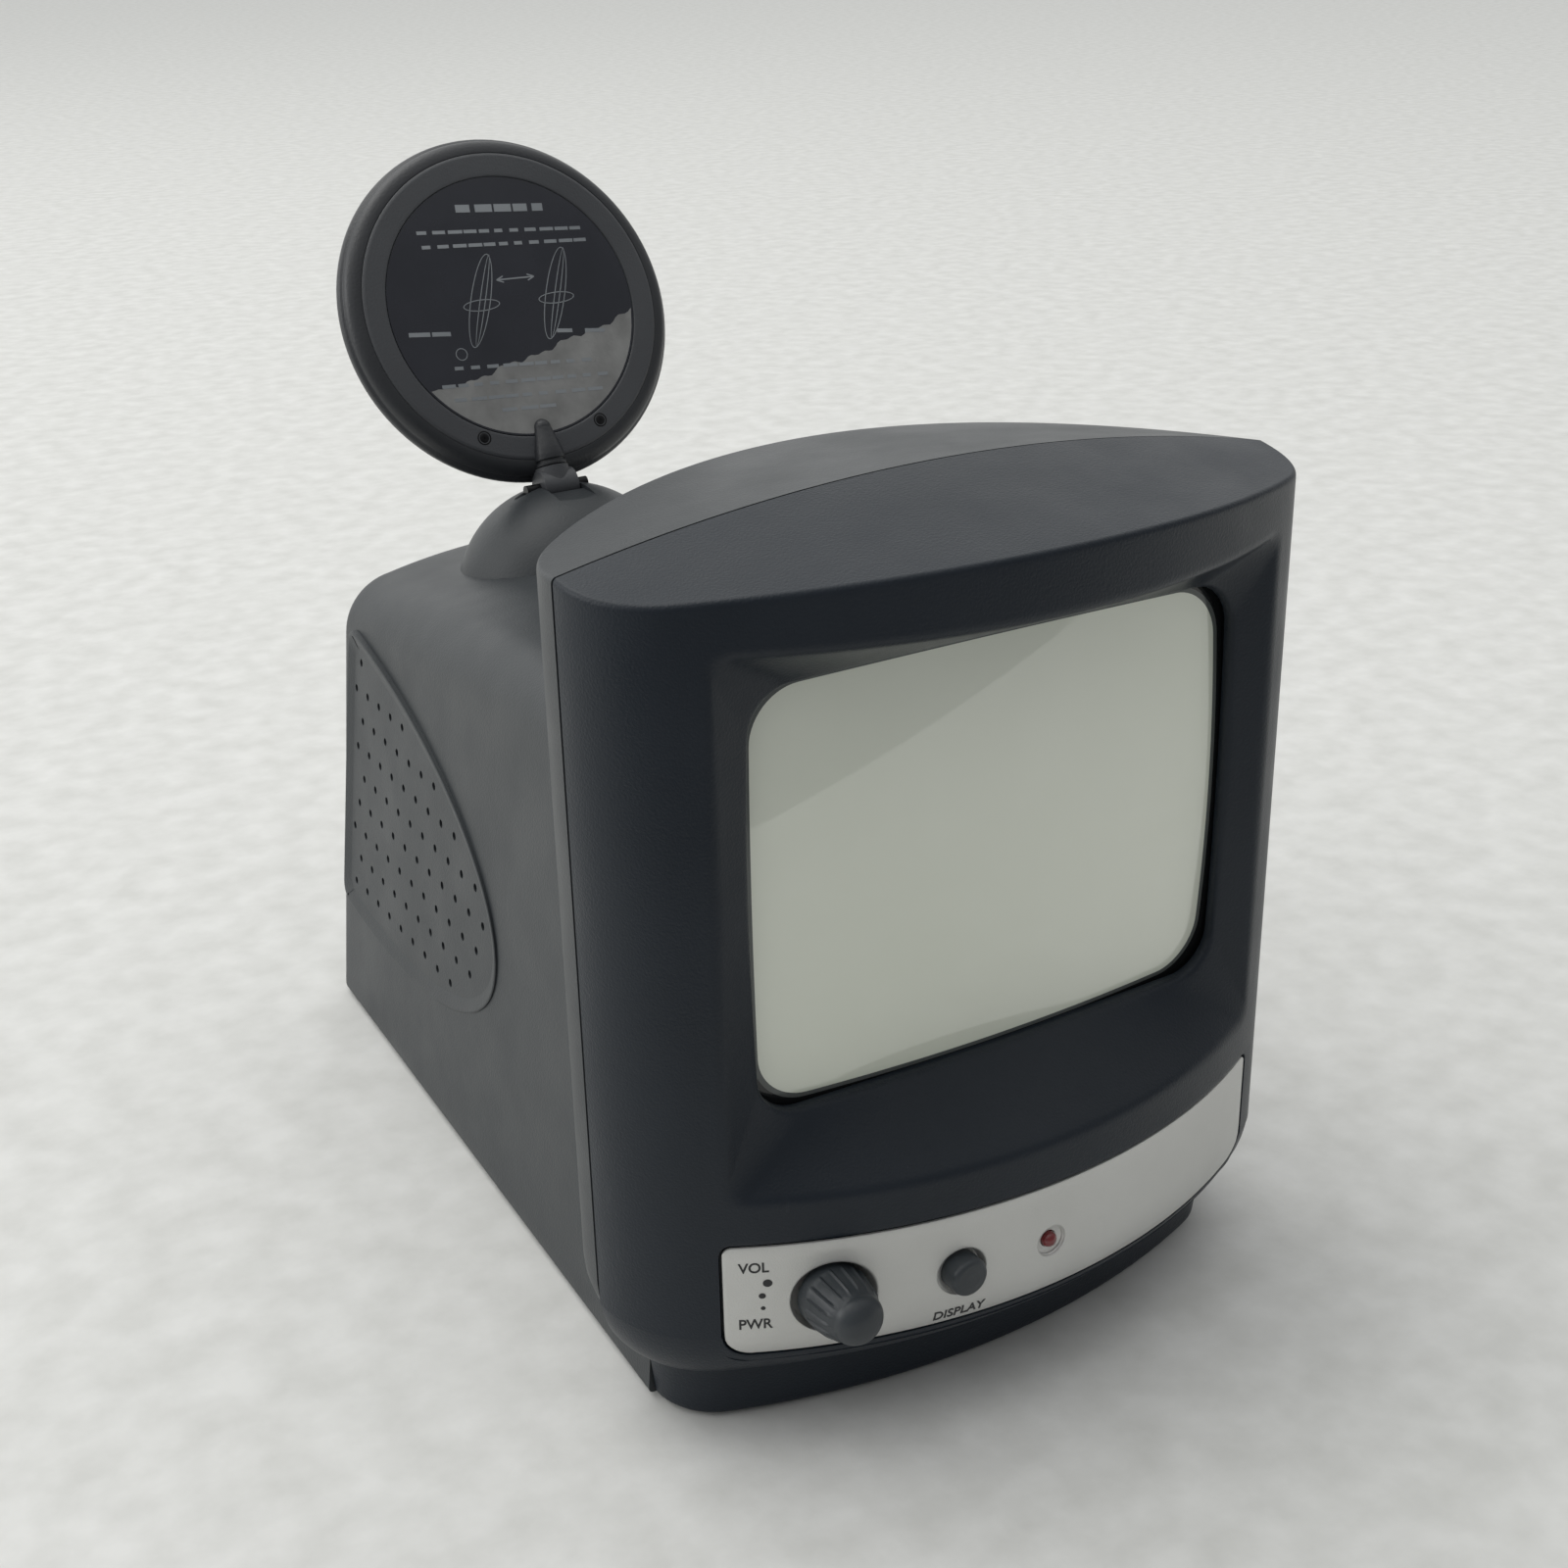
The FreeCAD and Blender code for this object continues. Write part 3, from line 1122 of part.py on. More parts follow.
def make_antenna():
    dome = Part.makeSphere(size("dome_rad"), Vec(0, dome_y(), size("dome_top") - size("dome_rad")))
    hollow = Part.makeSphere(size("dome_rad") - size("wall"),
                             Vec(0, dome_y(), size("dome_top") - size("dome_rad")))
    slot_half = knuckle_half() + 0.5
    pocket_r = knuckle_rad() + 0.8
    ears = Part.makeCylinder(pocket_r + 3, 2 * slot_half + 8, Vec(-slot_half - 4, pivot_y(),
                             size("pivot_z") - 3), Vec(1, 0, 0)).common(dome)
    shell = dome.cut(hollow).fuse(ears)
    behind = size("pivot_z") - size("slot_drop")
    slot = Part.makeBox(2 * slot_half, 80, 30, Vec(-slot_half, pivot_y(), behind))
    slot = slot.fuse(Part.makeBox(2 * slot_half, 26, 30, Vec(-slot_half, pivot_y() - 26,
                                                             size("pivot_z"))))
    slot = slot.fuse(Part.makeCylinder(pocket_r, 2 * slot_half, Vec(-slot_half, pivot_y(),
                                                                    size("pivot_z")), Vec(1, 0, 0)))
    slope = (size("body_top") - size("body_top_end")) / size("body_end")
    roof = size("body_top") - slope * dome_y()
    below = Part.makeBox(200, 200, 100, Vec(-100, -100, -102.2))
    below.rotate(Vec(0, 0, 0), Vec(1, 0, 0), -math.degrees(math.atan(slope)))
    below.translate(Vec(0, dome_y(), roof))
    shell = shell.cut(slot).cut(below).cut(pivot_drill(size("pin_rad") + 0.02))
    feature(max(shell.Solids, key=lambda part: part.Volume), "antenna_dome")
    pin = Part.makeCylinder(size("pin_rad"), 2 * slot_half + 7, Vec(-slot_half - 3.5, pivot_y(),
                            size("pivot_z")), Vec(1, 0, 0))
    feature(pin, "hinge_pin")
    at = lean_placement()
    turn = at.Rotation
    up = turn.multVec(Vec(0, 0, 1))
    pivot = at.Base
    # knuckle: barrel on the pin and a collar that the stem turns in
    barrel = Part.makeCylinder(knuckle_rad(), 2 * knuckle_half(),
                               pivot - Vec(knuckle_half(), 0, 0), Vec(1, 0, 0))
    collar = Part.makeCylinder(size("stem_rad") + 0.25, 5.2, pivot, up)
    knuckle = barrel.fuse(collar).cut(pivot_drill(size("pin_rad") + size("running_gap")))
    knuckle = knuckle.cut(Part.makeCylinder(2.0 + size("running_gap"), 12, pivot + up * 2.4, up))
    feature(knuckle.removeSplitter(), "antenna_knuckle")
    # stem: bullet that turns in the collar and carries the disc
    stem = turned("antenna_stem", [
        ("0", "2.6"), ("2", "2.6"), ("2", "5.5"), ("stem_rad", "5.5"), ("stem_rad", "stem_long * 0.6"),
        ("stem_rad * 0.8", "stem_long * 0.85"), ("stem_rad * 0.45", "stem_long"), ("0", "stem_long")])
    stem.Placement = at
    node(stem, "antenna_stem")
    # disc: a flat face shell in front, a bulging shell behind, the radiator and board between them
    disc_frame = disc_placement()
    shapes = {
        "antenna_face": [("0", "0"), ("label_rad", "0"), ("label_rad", "0.6"), ("disc_rad - 5", "0.6"),
                         ("disc_rad - 1", "-2.4"), ("disc_rad - 1", "-3.4"), ("disc_rad - 5.4", "-disc_wall"),
                         ("0", "-disc_wall")],
        "antenna_back": [("disc_rad - 5.2", "-2.6"), ("disc_rad", "-3.6"), ("disc_rad", "-disc_rim + 0.6"),
                         ("disc_rad - 2", "-disc_rim - 1"), ("disc_rad * 0.6", "-disc_rim - disc_dome * 0.75"),
                         ("0", "-disc_rim - disc_dome"), ("0", "-disc_rim - disc_dome + disc_wall"),
                         ("disc_rad * 0.6", "-disc_rim - disc_dome * 0.75 + disc_wall"),
                         ("disc_rad - 3", "-disc_rim + 0.4")],
        "antenna_label": [("0", "0.05"), ("label_rad - 0.3", "0.05"), ("label_rad - 0.3", "0.35"), ("0", "0.35")],
        "antenna_element": [("0", "-5.6"), ("30", "-5.6"), ("30", "-4"), ("24", "-4"), ("24", "-3.6"),
                            ("0", "-3.6")],
    }
    gap_stem = Part.makeCylinder(size("stem_rad") + 0.02, size("stem_long") + 0.1, pivot, up)
    gap_stem = gap_stem.fuse(Part.makeCylinder(knuckle_rad() + 2.4, 5.4, pivot, up))
    for label, corners in shapes.items():
        piece = turned(label + "_blank", corners)
        piece.Placement = disc_frame
        doc.recompute()
        shape = piece.Shape.copy()
        shape = shape.cut(gap_stem)
        feature(max(shape.Solids, key=lambda s: s.Volume), label)
    screws = []
    for side in (-1, 1):
        turn_to = math.radians(27 * side)
        spot = Vec(size("screw_ring") * math.sin(turn_to), -size("screw_ring") * math.cos(turn_to), -3.4)
        base = disc_frame.multVec(spot)
        way = disc_frame.Rotation.multVec(Vec(0, 0, 1))
        screws.append(Part.makeCylinder(1.9, 1.6, base, way))
    feature(Part.makeCompound(screws), "antenna_screws")


def disc_placement():
    """Middle of the disc face; its own Z points out of the face and its Y points up the stem."""
    at = lean_placement()
    centre = at.multVec(Vec(0, 0, size("disc_up")))
    turn = at.Rotation.multiply(FreeCAD.Rotation(Vec(1, 0, 0), 90))
    return FreeCAD.Placement(centre, turn)


def make_leads(middle):
    cap = turned("anode_cap", [("0", "0"), ("9", "0"), ("6", "3"), ("3.4", "5"), ("0", "5")])
    y = face_y() + size("tube_skirt") + size("funnel_long") * 0.45
    cap.Placement = FreeCAD.Placement(Vec(0, y, middle + tube_half_high() * 0.56 + 4),
                                      FreeCAD.Rotation(Vec(0, 0, 1), Vec(0, 0.64, 0.77)))
    node(cap, "anode_cap")
    deck = size("board_z") + size("board_thick")
    roof = deck + 49.2
    x, back = flyback_spot()
    bent_rod([cap.Placement.multVec(Vec(0, 0, 5.2)), cap.Placement.multVec(Vec(0, 0, 11)),
              Vec(24, 48, middle + 16), Vec(31, back - 25, middle + 1), Vec(x + 3, back - 3, 92),
              Vec(x, back, roof + 10), Vec(x, back, roof)], 1.6, "anode_lead")
    # the antenna lead goes up beside the neck and over it to the slot of the dome
    y = receiver_front() + 18
    aside = -size("neck_rad") - 6
    top = size("pivot_z") - knuckle_rad() - size("slot_drop") - 4.8
    bent_rod([Vec(-26, y, deck + 16.9), Vec(-26, y + 6, 62), Vec(aside - 6, dome_y() - 8, 92),
              Vec(aside, dome_y() - 2, middle), Vec(0, dome_y(), top)], 1.3, "antenna_coax")


make_front_bezel()
make_rear_casing()
make_grille(-1, "left_grille")
make_grille(1, "right_grille")
make_control_panel()
make_controls()
neck_start, neck_end, middle = make_tube()
make_neck_parts(neck_start, neck_end, middle)
make_chassis()
make_rear_controls()
make_speaker()
make_fasteners()
make_antenna()
make_leads(middle)
doc.recompute()

# ---- checks and export -------------------------------------------------------------------------
for obj in doc.Objects:
    bad = [s for s in obj.State if s in ("Invalid", "Error")]
    if bad:
        raise SystemExit("%s (%s) is %s" % (obj.Name, obj.Label, bad))
box = FreeCAD.BoundBox()
for piece in nodes:
    if piece.Shape.isNull() or not piece.Shape.isValid() or piece.Shape.Volume <= 0:
        raise SystemExit("bad shape: " + piece.Label)
    box.add(piece.Shape.optimalBoundingBox())
middle_y = (box.YMin + box.YMax) / 2
os.makedirs("parts", exist_ok=True)
for piece in nodes:
    shape = piece.Shape.copy()
    shape.translate(Vec(0, -middle_y, 0))
    shape.exportStep("parts/%s.step" % piece.Label)
print("%d pieces, origin %.3f mm behind the parting plane" % (len(nodes), middle_y))
print("box %.1f x %.1f x %.1f mm" % (box.XLength, box.YLength, box.ZLength))
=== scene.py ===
import bpy
import bmesh
import math
from mathutils import Matrix, Vector

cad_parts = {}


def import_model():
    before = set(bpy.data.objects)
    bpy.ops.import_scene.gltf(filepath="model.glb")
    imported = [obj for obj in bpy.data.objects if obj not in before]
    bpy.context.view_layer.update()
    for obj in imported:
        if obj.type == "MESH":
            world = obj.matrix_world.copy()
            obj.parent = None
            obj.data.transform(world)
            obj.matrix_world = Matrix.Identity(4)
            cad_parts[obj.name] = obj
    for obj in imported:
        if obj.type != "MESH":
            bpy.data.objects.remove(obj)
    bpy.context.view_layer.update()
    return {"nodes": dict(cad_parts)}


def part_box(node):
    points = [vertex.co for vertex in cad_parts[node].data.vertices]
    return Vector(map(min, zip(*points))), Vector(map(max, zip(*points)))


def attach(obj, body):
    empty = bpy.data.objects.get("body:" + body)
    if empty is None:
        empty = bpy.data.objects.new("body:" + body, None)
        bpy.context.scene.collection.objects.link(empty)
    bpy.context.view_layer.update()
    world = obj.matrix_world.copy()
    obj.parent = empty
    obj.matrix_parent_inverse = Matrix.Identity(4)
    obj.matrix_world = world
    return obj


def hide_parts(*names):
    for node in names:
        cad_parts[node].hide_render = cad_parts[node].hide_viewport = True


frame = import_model()
print("frame loaded")

# Lengths below are in millimetres. x = 0 is the middle, y = 0 is the seam between the front
# bezel and the rear casing with y growing to the back, and z = 0 is the floor.
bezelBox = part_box("front_bezel")
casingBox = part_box("rear_casing")
mm = 0.001
bodyEnd = 208.0  # from the seam to the back of the casing
seamAt = casingBox[1].y - bodyEnd * mm


def world(x, y, z):
    return Vector((x * mm, seamAt + y * mm, z * mm))


def local(point):
    return Vector((point.x / mm, (point.y - seamAt) / mm, point.z / mm))


def middleOf(node):
    low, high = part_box(node)
    return local((low + high) / 2)


# Mesh helpers.

def meshObject(name, points, faces):
    mesh = bpy.data.meshes.new(name)
    mesh.from_pydata([tuple(p) for p in points], [], faces)
    mesh.update()
    obj = bpy.data.objects.new(name, mesh)
    bpy.context.scene.collection.objects.link(obj)
    return obj


class Sheet:
    # collects patches of quads that share points, and welds them at the end
    def __init__(self):
        self.points = []
        self.faces = []

    def patch(self, rows, closed=False, skip=None):
        start = len(self.points)
        wide = len(rows[0])
        for row in rows:
            self.points.extend(row)
        last = wide if closed else wide - 1
        for i in range(len(rows) - 1):
            for j in range(last):
                k = (j + 1) % wide
                a = start + i * wide
                b = a + wide
                if skip and skip(i, j):
                    continue
                self.faces.append((a + j, a + k, b + k, b + j))

    def build(self, name, weld=0.012, toward=None):
        obj = meshObject(name, [world(*p) for p in self.points], self.faces)
        work = bmesh.new()
        work.from_mesh(obj.data)
        bmesh.ops.remove_doubles(work, verts=work.verts, dist=weld * mm)
        bmesh.ops.dissolve_degenerate(work, edges=work.edges, dist=0.002 * mm)
        loose = [v for v in work.verts if not v.link_faces]
        bmesh.ops.delete(work, geom=loose, context="VERTS")
        bmesh.ops.recalc_face_normals(work, faces=work.faces)
        if toward and sum((f.normal * f.calc_area()).dot(Vector(toward)) for f in work.faces) < 0:
            bmesh.ops.reverse_faces(work, faces=work.faces)
        work.to_mesh(obj.data)
        work.free()
        return obj


def lerp(a, b, share):
    return a + (b - a) * share


def mix(p, q, share):
    return tuple(lerp(a, b, share) for a, b in zip(p, q))


def bend(a, corner, b, share):
    # quadratic curve from a to b that rounds off the corner
    return mix(mix(a, corner, share), mix(corner, b, share), share)


def smooth(share):
    share = max(0.0, min(1.0, share))
    return share * share * (3 - 2 * share)


def applyAll(obj):
    graph = bpy.context.evaluated_depsgraph_get()
    made = bpy.data.meshes.new_from_object(obj.evaluated_get(graph))
    obj.modifiers.clear()
    obj.data = made
    return obj


def thicken(obj, wall):
    step = obj.modifiers.new("wall", "SOLIDIFY")
    step.thickness = wall * mm
    step.offset = -1
    return applyAll(obj)


def smoothShade(obj, angle=32):
    for face in obj.data.polygons:
        face.use_smooth = True
    obj.data.set_sharp_from_angle(angle=math.radians(angle))
    return obj


def cutWith(obj, tool, way="DIFFERENCE"):
    before = len(obj.data.polygons)
    step = obj.modifiers.new("cut", "BOOLEAN")
    step.operation = way
    step.solver = "EXACT"
    step.object = tool
    graph = bpy.context.evaluated_depsgraph_get()
    made = bpy.data.meshes.new_from_object(obj.evaluated_get(graph))
    obj.modifiers.clear()
    if len(made.polygons) > before * 0.5:
        obj.data = made
    bpy.data.objects.remove(tool)
    return obj


def joined(objects):
    keep = objects[0]
    work = bmesh.new()
    for obj in objects:
        offset = len(keep.data.materials)
        if obj is not keep:
            for material in obj.data.materials:
                keep.data.materials.append(material)
        start = len(work.faces)
        work.from_mesh(obj.data)
        work.faces.ensure_lookup_table()
        if obj is not keep:
            for face in work.faces[start:]:
                face.material_index += offset
    work.to_mesh(keep.data)
    work.free()
    for obj in objects[1:]:
        bpy.data.objects.remove(obj)
    return keep


def finishPiece(obj, body, material, nodes=()):
    if material and not obj.data.materials:
        obj.data.materials.append(material)
    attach(obj, body)
    if nodes:
        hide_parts(*nodes)
    return obj


def rounded(profile, radius, steps=4):
    # the same profile with every inner corner rounded off
    out = [profile[0]]
    for k in range(1, len(profile) - 1):
        before = math.dist(profile[k - 1], profile[k])
        after = math.dist(profile[k], profile[k + 1])
        reach = min(radius, before * 0.45, after * 0.45)
        if reach < 1e-4:
            out.append(profile[k])
            continue
        a = mix(profile[k], profile[k - 1], reach / before)
        b = mix(profile[k], profile[k + 1], reach / after)
        out.extend(bend(a, profile[k], b, j / steps) for j in range(steps + 1))
    out.append(profile[-1])
    return out


def turnedPiece(name, profile, place, segments=64, radius=0.4, closed=False, ripple=None):
    # spins a (radius, height) profile about its own Z axis; place is a matrix in millimetres
    line = rounded(profile, radius) if radius else profile
    sheet = Sheet()
    rows = []
    for r, h in line:
        row = []
        for k in range(segments):
            turn = 2 * math.pi * k / segments
            out = r + (ripple(r, h, turn) if ripple else 0.0)
            row.append(tuple(place @ Vector((out * math.cos(turn), out * math.sin(turn), h))))
        rows.append(row)
    if closed:
        rows.append(rows[0])
    sheet.patch(rows, closed=True)
    return smoothShade(sheet.build(name))


def placeAlong(origin, direction):
    # a frame in millimetres with its Z along direction
    turn = Vector(direction).to_track_quat("Z", "Y").to_matrix().to_4x4()
    return Matrix.Translation(Vector(origin)) @ turn


def rod(name, origin, direction, radius, low, high, segments=48):
    # plain closed cutter
    profile = [(0.0, low), (radius, low), (radius, high), (0.0, high)]
    return turnedPiece(name, profile, placeAlong(origin, direction), segments, 0.0)


# Finishes.

def nodeOf(tree, kind, **inputs):
    made = tree.nodes.new("ShaderNode" + kind)
    for name, value in inputs.items():
        key = int(name[1:]) if name[0] == "i" and name[1:].isdigit() else name
        made.inputs[key].default_value = value
    return made


def gradeBetween(tree, source, low, high, dark, light):
    # maps a grey source between two stops to two colours
    ramp = tree.nodes.new("ShaderNodeValToRGB")
    ramp.color_ramp.elements[0].position = low
    ramp.color_ramp.elements[0].color = (*dark, 1)
    ramp.color_ramp.elements[1].position = high
    ramp.color_ramp.elements[1].color = (*light, 1)
    tree.links.new(source, ramp.inputs[0])
    return ramp.outputs[0]


def finish(name, values):
    # one moulded or metal finish: cloudy colour, varied gloss, fine grain, faint scuffs
    material = bpy.data.materials.new(name)
    material.use_nodes = True
    tree = material.node_tree
    links = tree.links
    shader = tree.nodes["Principled BSDF"]
    shader.inputs["Metallic"].default_value = values.get("metal", 0.0)
    shader.inputs["Specular IOR Level"].default_value = values.get("specular", 0.5)
    shader.inputs["Coat Weight"].default_value = values.get("coat", 0.0)
    shader.inputs["Coat Roughness"].default_value = values.get("coatRough", 0.1)
    spot = nodeOf(tree, "TexCoord")
    cloud = nodeOf(tree, "TexNoise", Scale=values.get("cloudScale", 28.0), Detail=4.0)
    links.new(spot.outputs["Object"], cloud.inputs["Vector"])
    colour = gradeBetween(tree, cloud.outputs["Fac"], 0.3, 0.7, values["dark"], values["light"])
    scuff = values.get("scuff", 0.0)
    if scuff:
        streak = nodeOf(tree, "TexNoise", Scale=values.get("scuffScale", 90.0), Detail=8.0,
                        Roughness=0.75)
        stretch = nodeOf(tree, "Mapping")
        stretch.inputs["Scale"].default_value = (1.0, 1.0, 0.16)
        links.new(spot.outputs["Object"], stretch.inputs["Vector"])
        links.new(stretch.outputs[0], streak.inputs["Vector"])
        mask = gradeBetween(tree, streak.outputs["Fac"], 0.66, 0.76, (0, 0, 0), (scuff, scuff, scuff))
        blend = tree.nodes.new("ShaderNodeMix")
        blend.data_type = "RGBA"
        blend.inputs["B"].default_value = (*values.get("scuffColour", (0.3, 0.3, 0.3)), 1)
        links.new(mask, blend.inputs["Factor"])
        links.new(colour, blend.inputs["A"])
        colour = blend.outputs["Result"]
    links.new(colour, shader.inputs["Base Color"])
    haze = nodeOf(tree, "TexNoise", Scale=values.get("hazeScale", 55.0), Detail=5.0)
    links.new(spot.outputs["Object"], haze.inputs["Vector"])
    gloss = nodeOf(tree, "MapRange")
    gloss.inputs["From Min"].default_value = 0.3
    gloss.inputs["From Max"].default_value = 0.7
    gloss.inputs["To Min"].default_value = values["rough"] - values.get("roughVary", 0.05)
    gloss.inputs["To Max"].default_value = values["rough"] + values.get("roughVary", 0.05)
    links.new(haze.outputs["Fac"], gloss.inputs["Value"])
    links.new(gloss.outputs[0], shader.inputs["Roughness"])
    grain = nodeOf(tree, "TexNoise", Scale=values.get("grainScale", 1500.0), Detail=2.0)
    links.new(spot.outputs["Object"], grain.inputs["Vector"])
    bump = nodeOf(tree, "Bump", Strength=values.get("grain", 0.25), Distance=0.0002)
    links.new(grain.outputs["Fac"], bump.inputs["Height"])
    links.new(bump.outputs[0], shader.inputs["Normal"])
    return material


finishes = {
    "bezel": dict(dark=(0.0090, 0.0140, 0.0215), light=(0.0135, 0.0190, 0.0275), rough=0.40, grain=0.5,
                  grainScale=1900.0, scuff=0.3, scuffColour=(0.12, 0.13, 0.14), specular=0.32),
    "casing": dict(dark=(0.030, 0.0345, 0.0385), light=(0.038, 0.043, 0.047), rough=0.44, grain=0.45,
                   grainScale=1700.0, scuff=0.3, scuffColour=(0.14, 0.15, 0.15), specular=0.38),
    "silver": dict(dark=(0.60, 0.60, 0.58), light=(0.68, 0.68, 0.66), rough=0.42, metal=0.55,
                   grain=0.3, grainScale=3200.0, scuff=0.12, scuffColour=(0.25, 0.25, 0.25)),
    "knob": dict(dark=(0.030, 0.036, 0.042), light=(0.040, 0.047, 0.053), rough=0.38, grain=0.2),
    "antenna": dict(dark=(0.066, 0.069, 0.076), light=(0.080, 0.084, 0.091), rough=0.42, grain=0.4,
                    grainScale=1900.0, scuff=0.1),
    "rim": dict(dark=(0.026, 0.028, 0.032), light=(0.036, 0.038, 0.043), rough=0.4, grain=0.4),
    "label": dict(dark=(0.012, 0.014, 0.022), light=(0.020, 0.022, 0.032), rough=0.16, grain=0.06,
                  coat=0.5, cloudScale=60.0, grainScale=500.0),
    "print": dict(dark=(0.26, 0.28, 0.30), light=(0.34, 0.36, 0.38), rough=0.3, grain=0.1),
    "ink": dict(dark=(0.016, 0.016, 0.018), light=(0.028, 0.028, 0.030), rough=0.5, grain=0.1),
    "darkScrew": dict(dark=(0.008, 0.008, 0.009), light=(0.02, 0.02, 0.022), rough=0.3, metal=0.6),
    "glassEdge": dict(dark=(0.10, 0.11, 0.105), light=(0.14, 0.15, 0.145), rough=0.12, grain=0.02),
    # painted reflection: pale colour of the sheet laid over the lower part of the antenna label
    "paintedReflection": dict(dark=(0.22, 0.22, 0.215), light=(0.33, 0.33, 0.325), rough=0.3, grain=0.2,
                 cloudScale=140.0, grainScale=700.0),
    # dark band round the picture: the tube's black rim, with painted shade of the gap to the bezel
    "mask": dict(dark=(0.010, 0.011, 0.012), light=(0.016, 0.017, 0.018), rough=0.12, grain=0.02),
    "steel": dict(dark=(0.42, 0.42, 0.42), light=(0.56, 0.56, 0.55), rough=0.34, metal=1.0, grain=0.2),
    "bakelite": dict(dark=(0.045, 0.028, 0.018), light=(0.07, 0.045, 0.03), rough=0.4, grain=0.2),
    "ferrite": dict(dark=(0.03, 0.03, 0.032), light=(0.055, 0.055, 0.057), rough=0.6, grain=0.5),
    "copper": dict(dark=(0.36, 0.14, 0.06), light=(0.52, 0.22, 0.10), rough=0.35, metal=0.9,
                   grain=0.5, grainScale=900.0),
    "board": dict(dark=(0.20, 0.13, 0.05), light=(0.27, 0.18, 0.08), rough=0.5, grain=0.3),
    "blackPart": dict(dark=(0.014, 0.014, 0.015), light=(0.028, 0.028, 0.030), rough=0.42),
    "aluminium": dict(dark=(0.55, 0.55, 0.56), light=(0.68, 0.68, 0.68), rough=0.38, metal=1.0),
    "capacitor": dict(dark=(0.016, 0.03, 0.07), light=(0.03, 0.05, 0.11), rough=0.32, grain=0.1),
    "rubber": dict(dark=(0.012, 0.012, 0.012), light=(0.022, 0.022, 0.022), rough=0.8, grain=0.6),
    "brass": dict(dark=(0.52, 0.38, 0.16), light=(0.66, 0.50, 0.24), rough=0.3, metal=1.0),
    "paper": dict(dark=(0.28, 0.25, 0.20), light=(0.38, 0.35, 0.29), rough=0.85, grain=0.6),
    "whiteCoat": dict(dark=(0.6, 0.62, 0.58), light=(0.7, 0.72, 0.68), rough=0.6, grain=0.2),
}
materials = {name: finish(name, values) for name, values in finishes.items()}


def screenGlass(values):
    # pale phosphor seen through glossy glass
    material = finish("screenGlass", values)
    shader = material.node_tree.nodes["Principled BSDF"]
    shader.inputs["Coat Weight"].default_value = 1.0
    shader.inputs["Coat Roughness"].default_value = 0.03
    shader.inputs["Coat IOR"].default_value = 1.9
    shader.inputs["IOR"].default_value = 1.52
    return material


screen = {
    "finish": dict(dark=(0.78, 0.82, 0.69), light=(0.86, 0.89, 0.77), rough=0.5, roughVary=0.03,
                   grain=0.02, cloudScale=11.0),
    "pictureHalfWide": 53.9,
    "pictureHalfHigh": 41.9,
    "pictureRound": 10.0,
    "barrel": 1.2,
}
materials["screenGlass"] = screenGlass(screen["finish"])


def lampGlass():
    material = finish("redLamp", dict(dark=(0.12, 0.004, 0.006), light=(0.2, 0.01, 0.012), rough=0.15,
                                      grain=0.05))
    shader = material.node_tree.nodes["Principled BSDF"]
    shader.inputs["Coat Weight"].default_value = 0.8
    return material


materials["redLamp"] = lampGlass()
print("finishes made")

# Head: a lens in plan, split by the seam into the bezel's half and the casing's half.

head = {
    "half": bezelBox[1].x / mm,
    "frontBow": (seamAt - bezelBox[0].y) / mm,  # how far the front stands out from the seam
    "frontRound": 25.0,
    "rearBow": 50.0,
    "rearRound": 30.0,
    "top": bezelBox[1].z / mm,
    "crown": 8.8,
    "browDrop": 7.1,  # fall of the roof from the seam to the front
    "napeDrop": 6.0,  # and from the seam to the back
    "tuckHigh": 31.0,  # between these heights the head draws in to the foot
    "tuckLow": 15.0,
    "footHalf": 72.0,
    "footBow": 26.0,
    "footRound": 16.0,
    "footTaper": 1.5,
    "footRows": (19.4, 18.2, 17.2, 16.3, 15.6, 15.15, 15.0, 14.0, 11.0, 8.0, 5.0, 3.0, 2.2),
    "floorGap": 1.2,
    "floorRound": 1.0,
    "edgeRound": 1.1,
    "seamGap": 0.75,
    "wall": 2.0,
    "sharpEdge": 38,
}
arcShare = 0.74  # part of the lens that its long middle arc takes


def biarc(half, bow, corner):
    big = (half ** 2 + bow ** 2 - 2 * half * corner) / (2 * (bow - corner))
    slope = math.atan2(big - bow, half - corner)
    return big, slope


def planPoint(share, half, bow, corner, inset=0.0, side=-1):
    # share runs from -1 at the left end of the lens over 0 in the middle to 1 at the right end
    big, slope = biarc(half, bow, corner)
    away = abs(share)
    sign = -1 if share < 0 else 1
    if away <= arcShare:
        turn = away / arcShare * (math.pi / 2 - slope)
        normal = (math.sin(turn), math.cos(turn))
        x = (big - inset) * normal[0]
        y = (big - inset) * normal[1] - (big - bow)
    else:
        turn = slope * (1 - (away - arcShare) / (1 - arcShare))
        normal = (math.cos(turn), math.sin(turn))
        x = half - corner + (corner - inset) * normal[0]
        y = (corner - inset) * normal[1]
    return sign * x, side * y


def roofHeight(x, y):
    radius = (head["half"] ** 2 + head["crown"] ** 2) / (2 * head["crown"])
    fall = radius - math.sqrt(radius ** 2 - x ** 2)
    if y < 0:
        slope = head["browDrop"] / head["frontBow"]
    else:
        slope = head["napeDrop"] / head["rearBow"]
    return head["top"] - fall - slope * abs(y)


def tuck(z):
    # how far the outline has gone from the head to the foot at this height
    if z >= head["tuckHigh"]:
        return 0.0
    if z <= head["tuckLow"]:
        return 1.0
    down = (head["tuckHigh"] - z) / (head["tuckHigh"] - head["tuckLow"])
    return 1 - math.sqrt(1 - down ** 2)


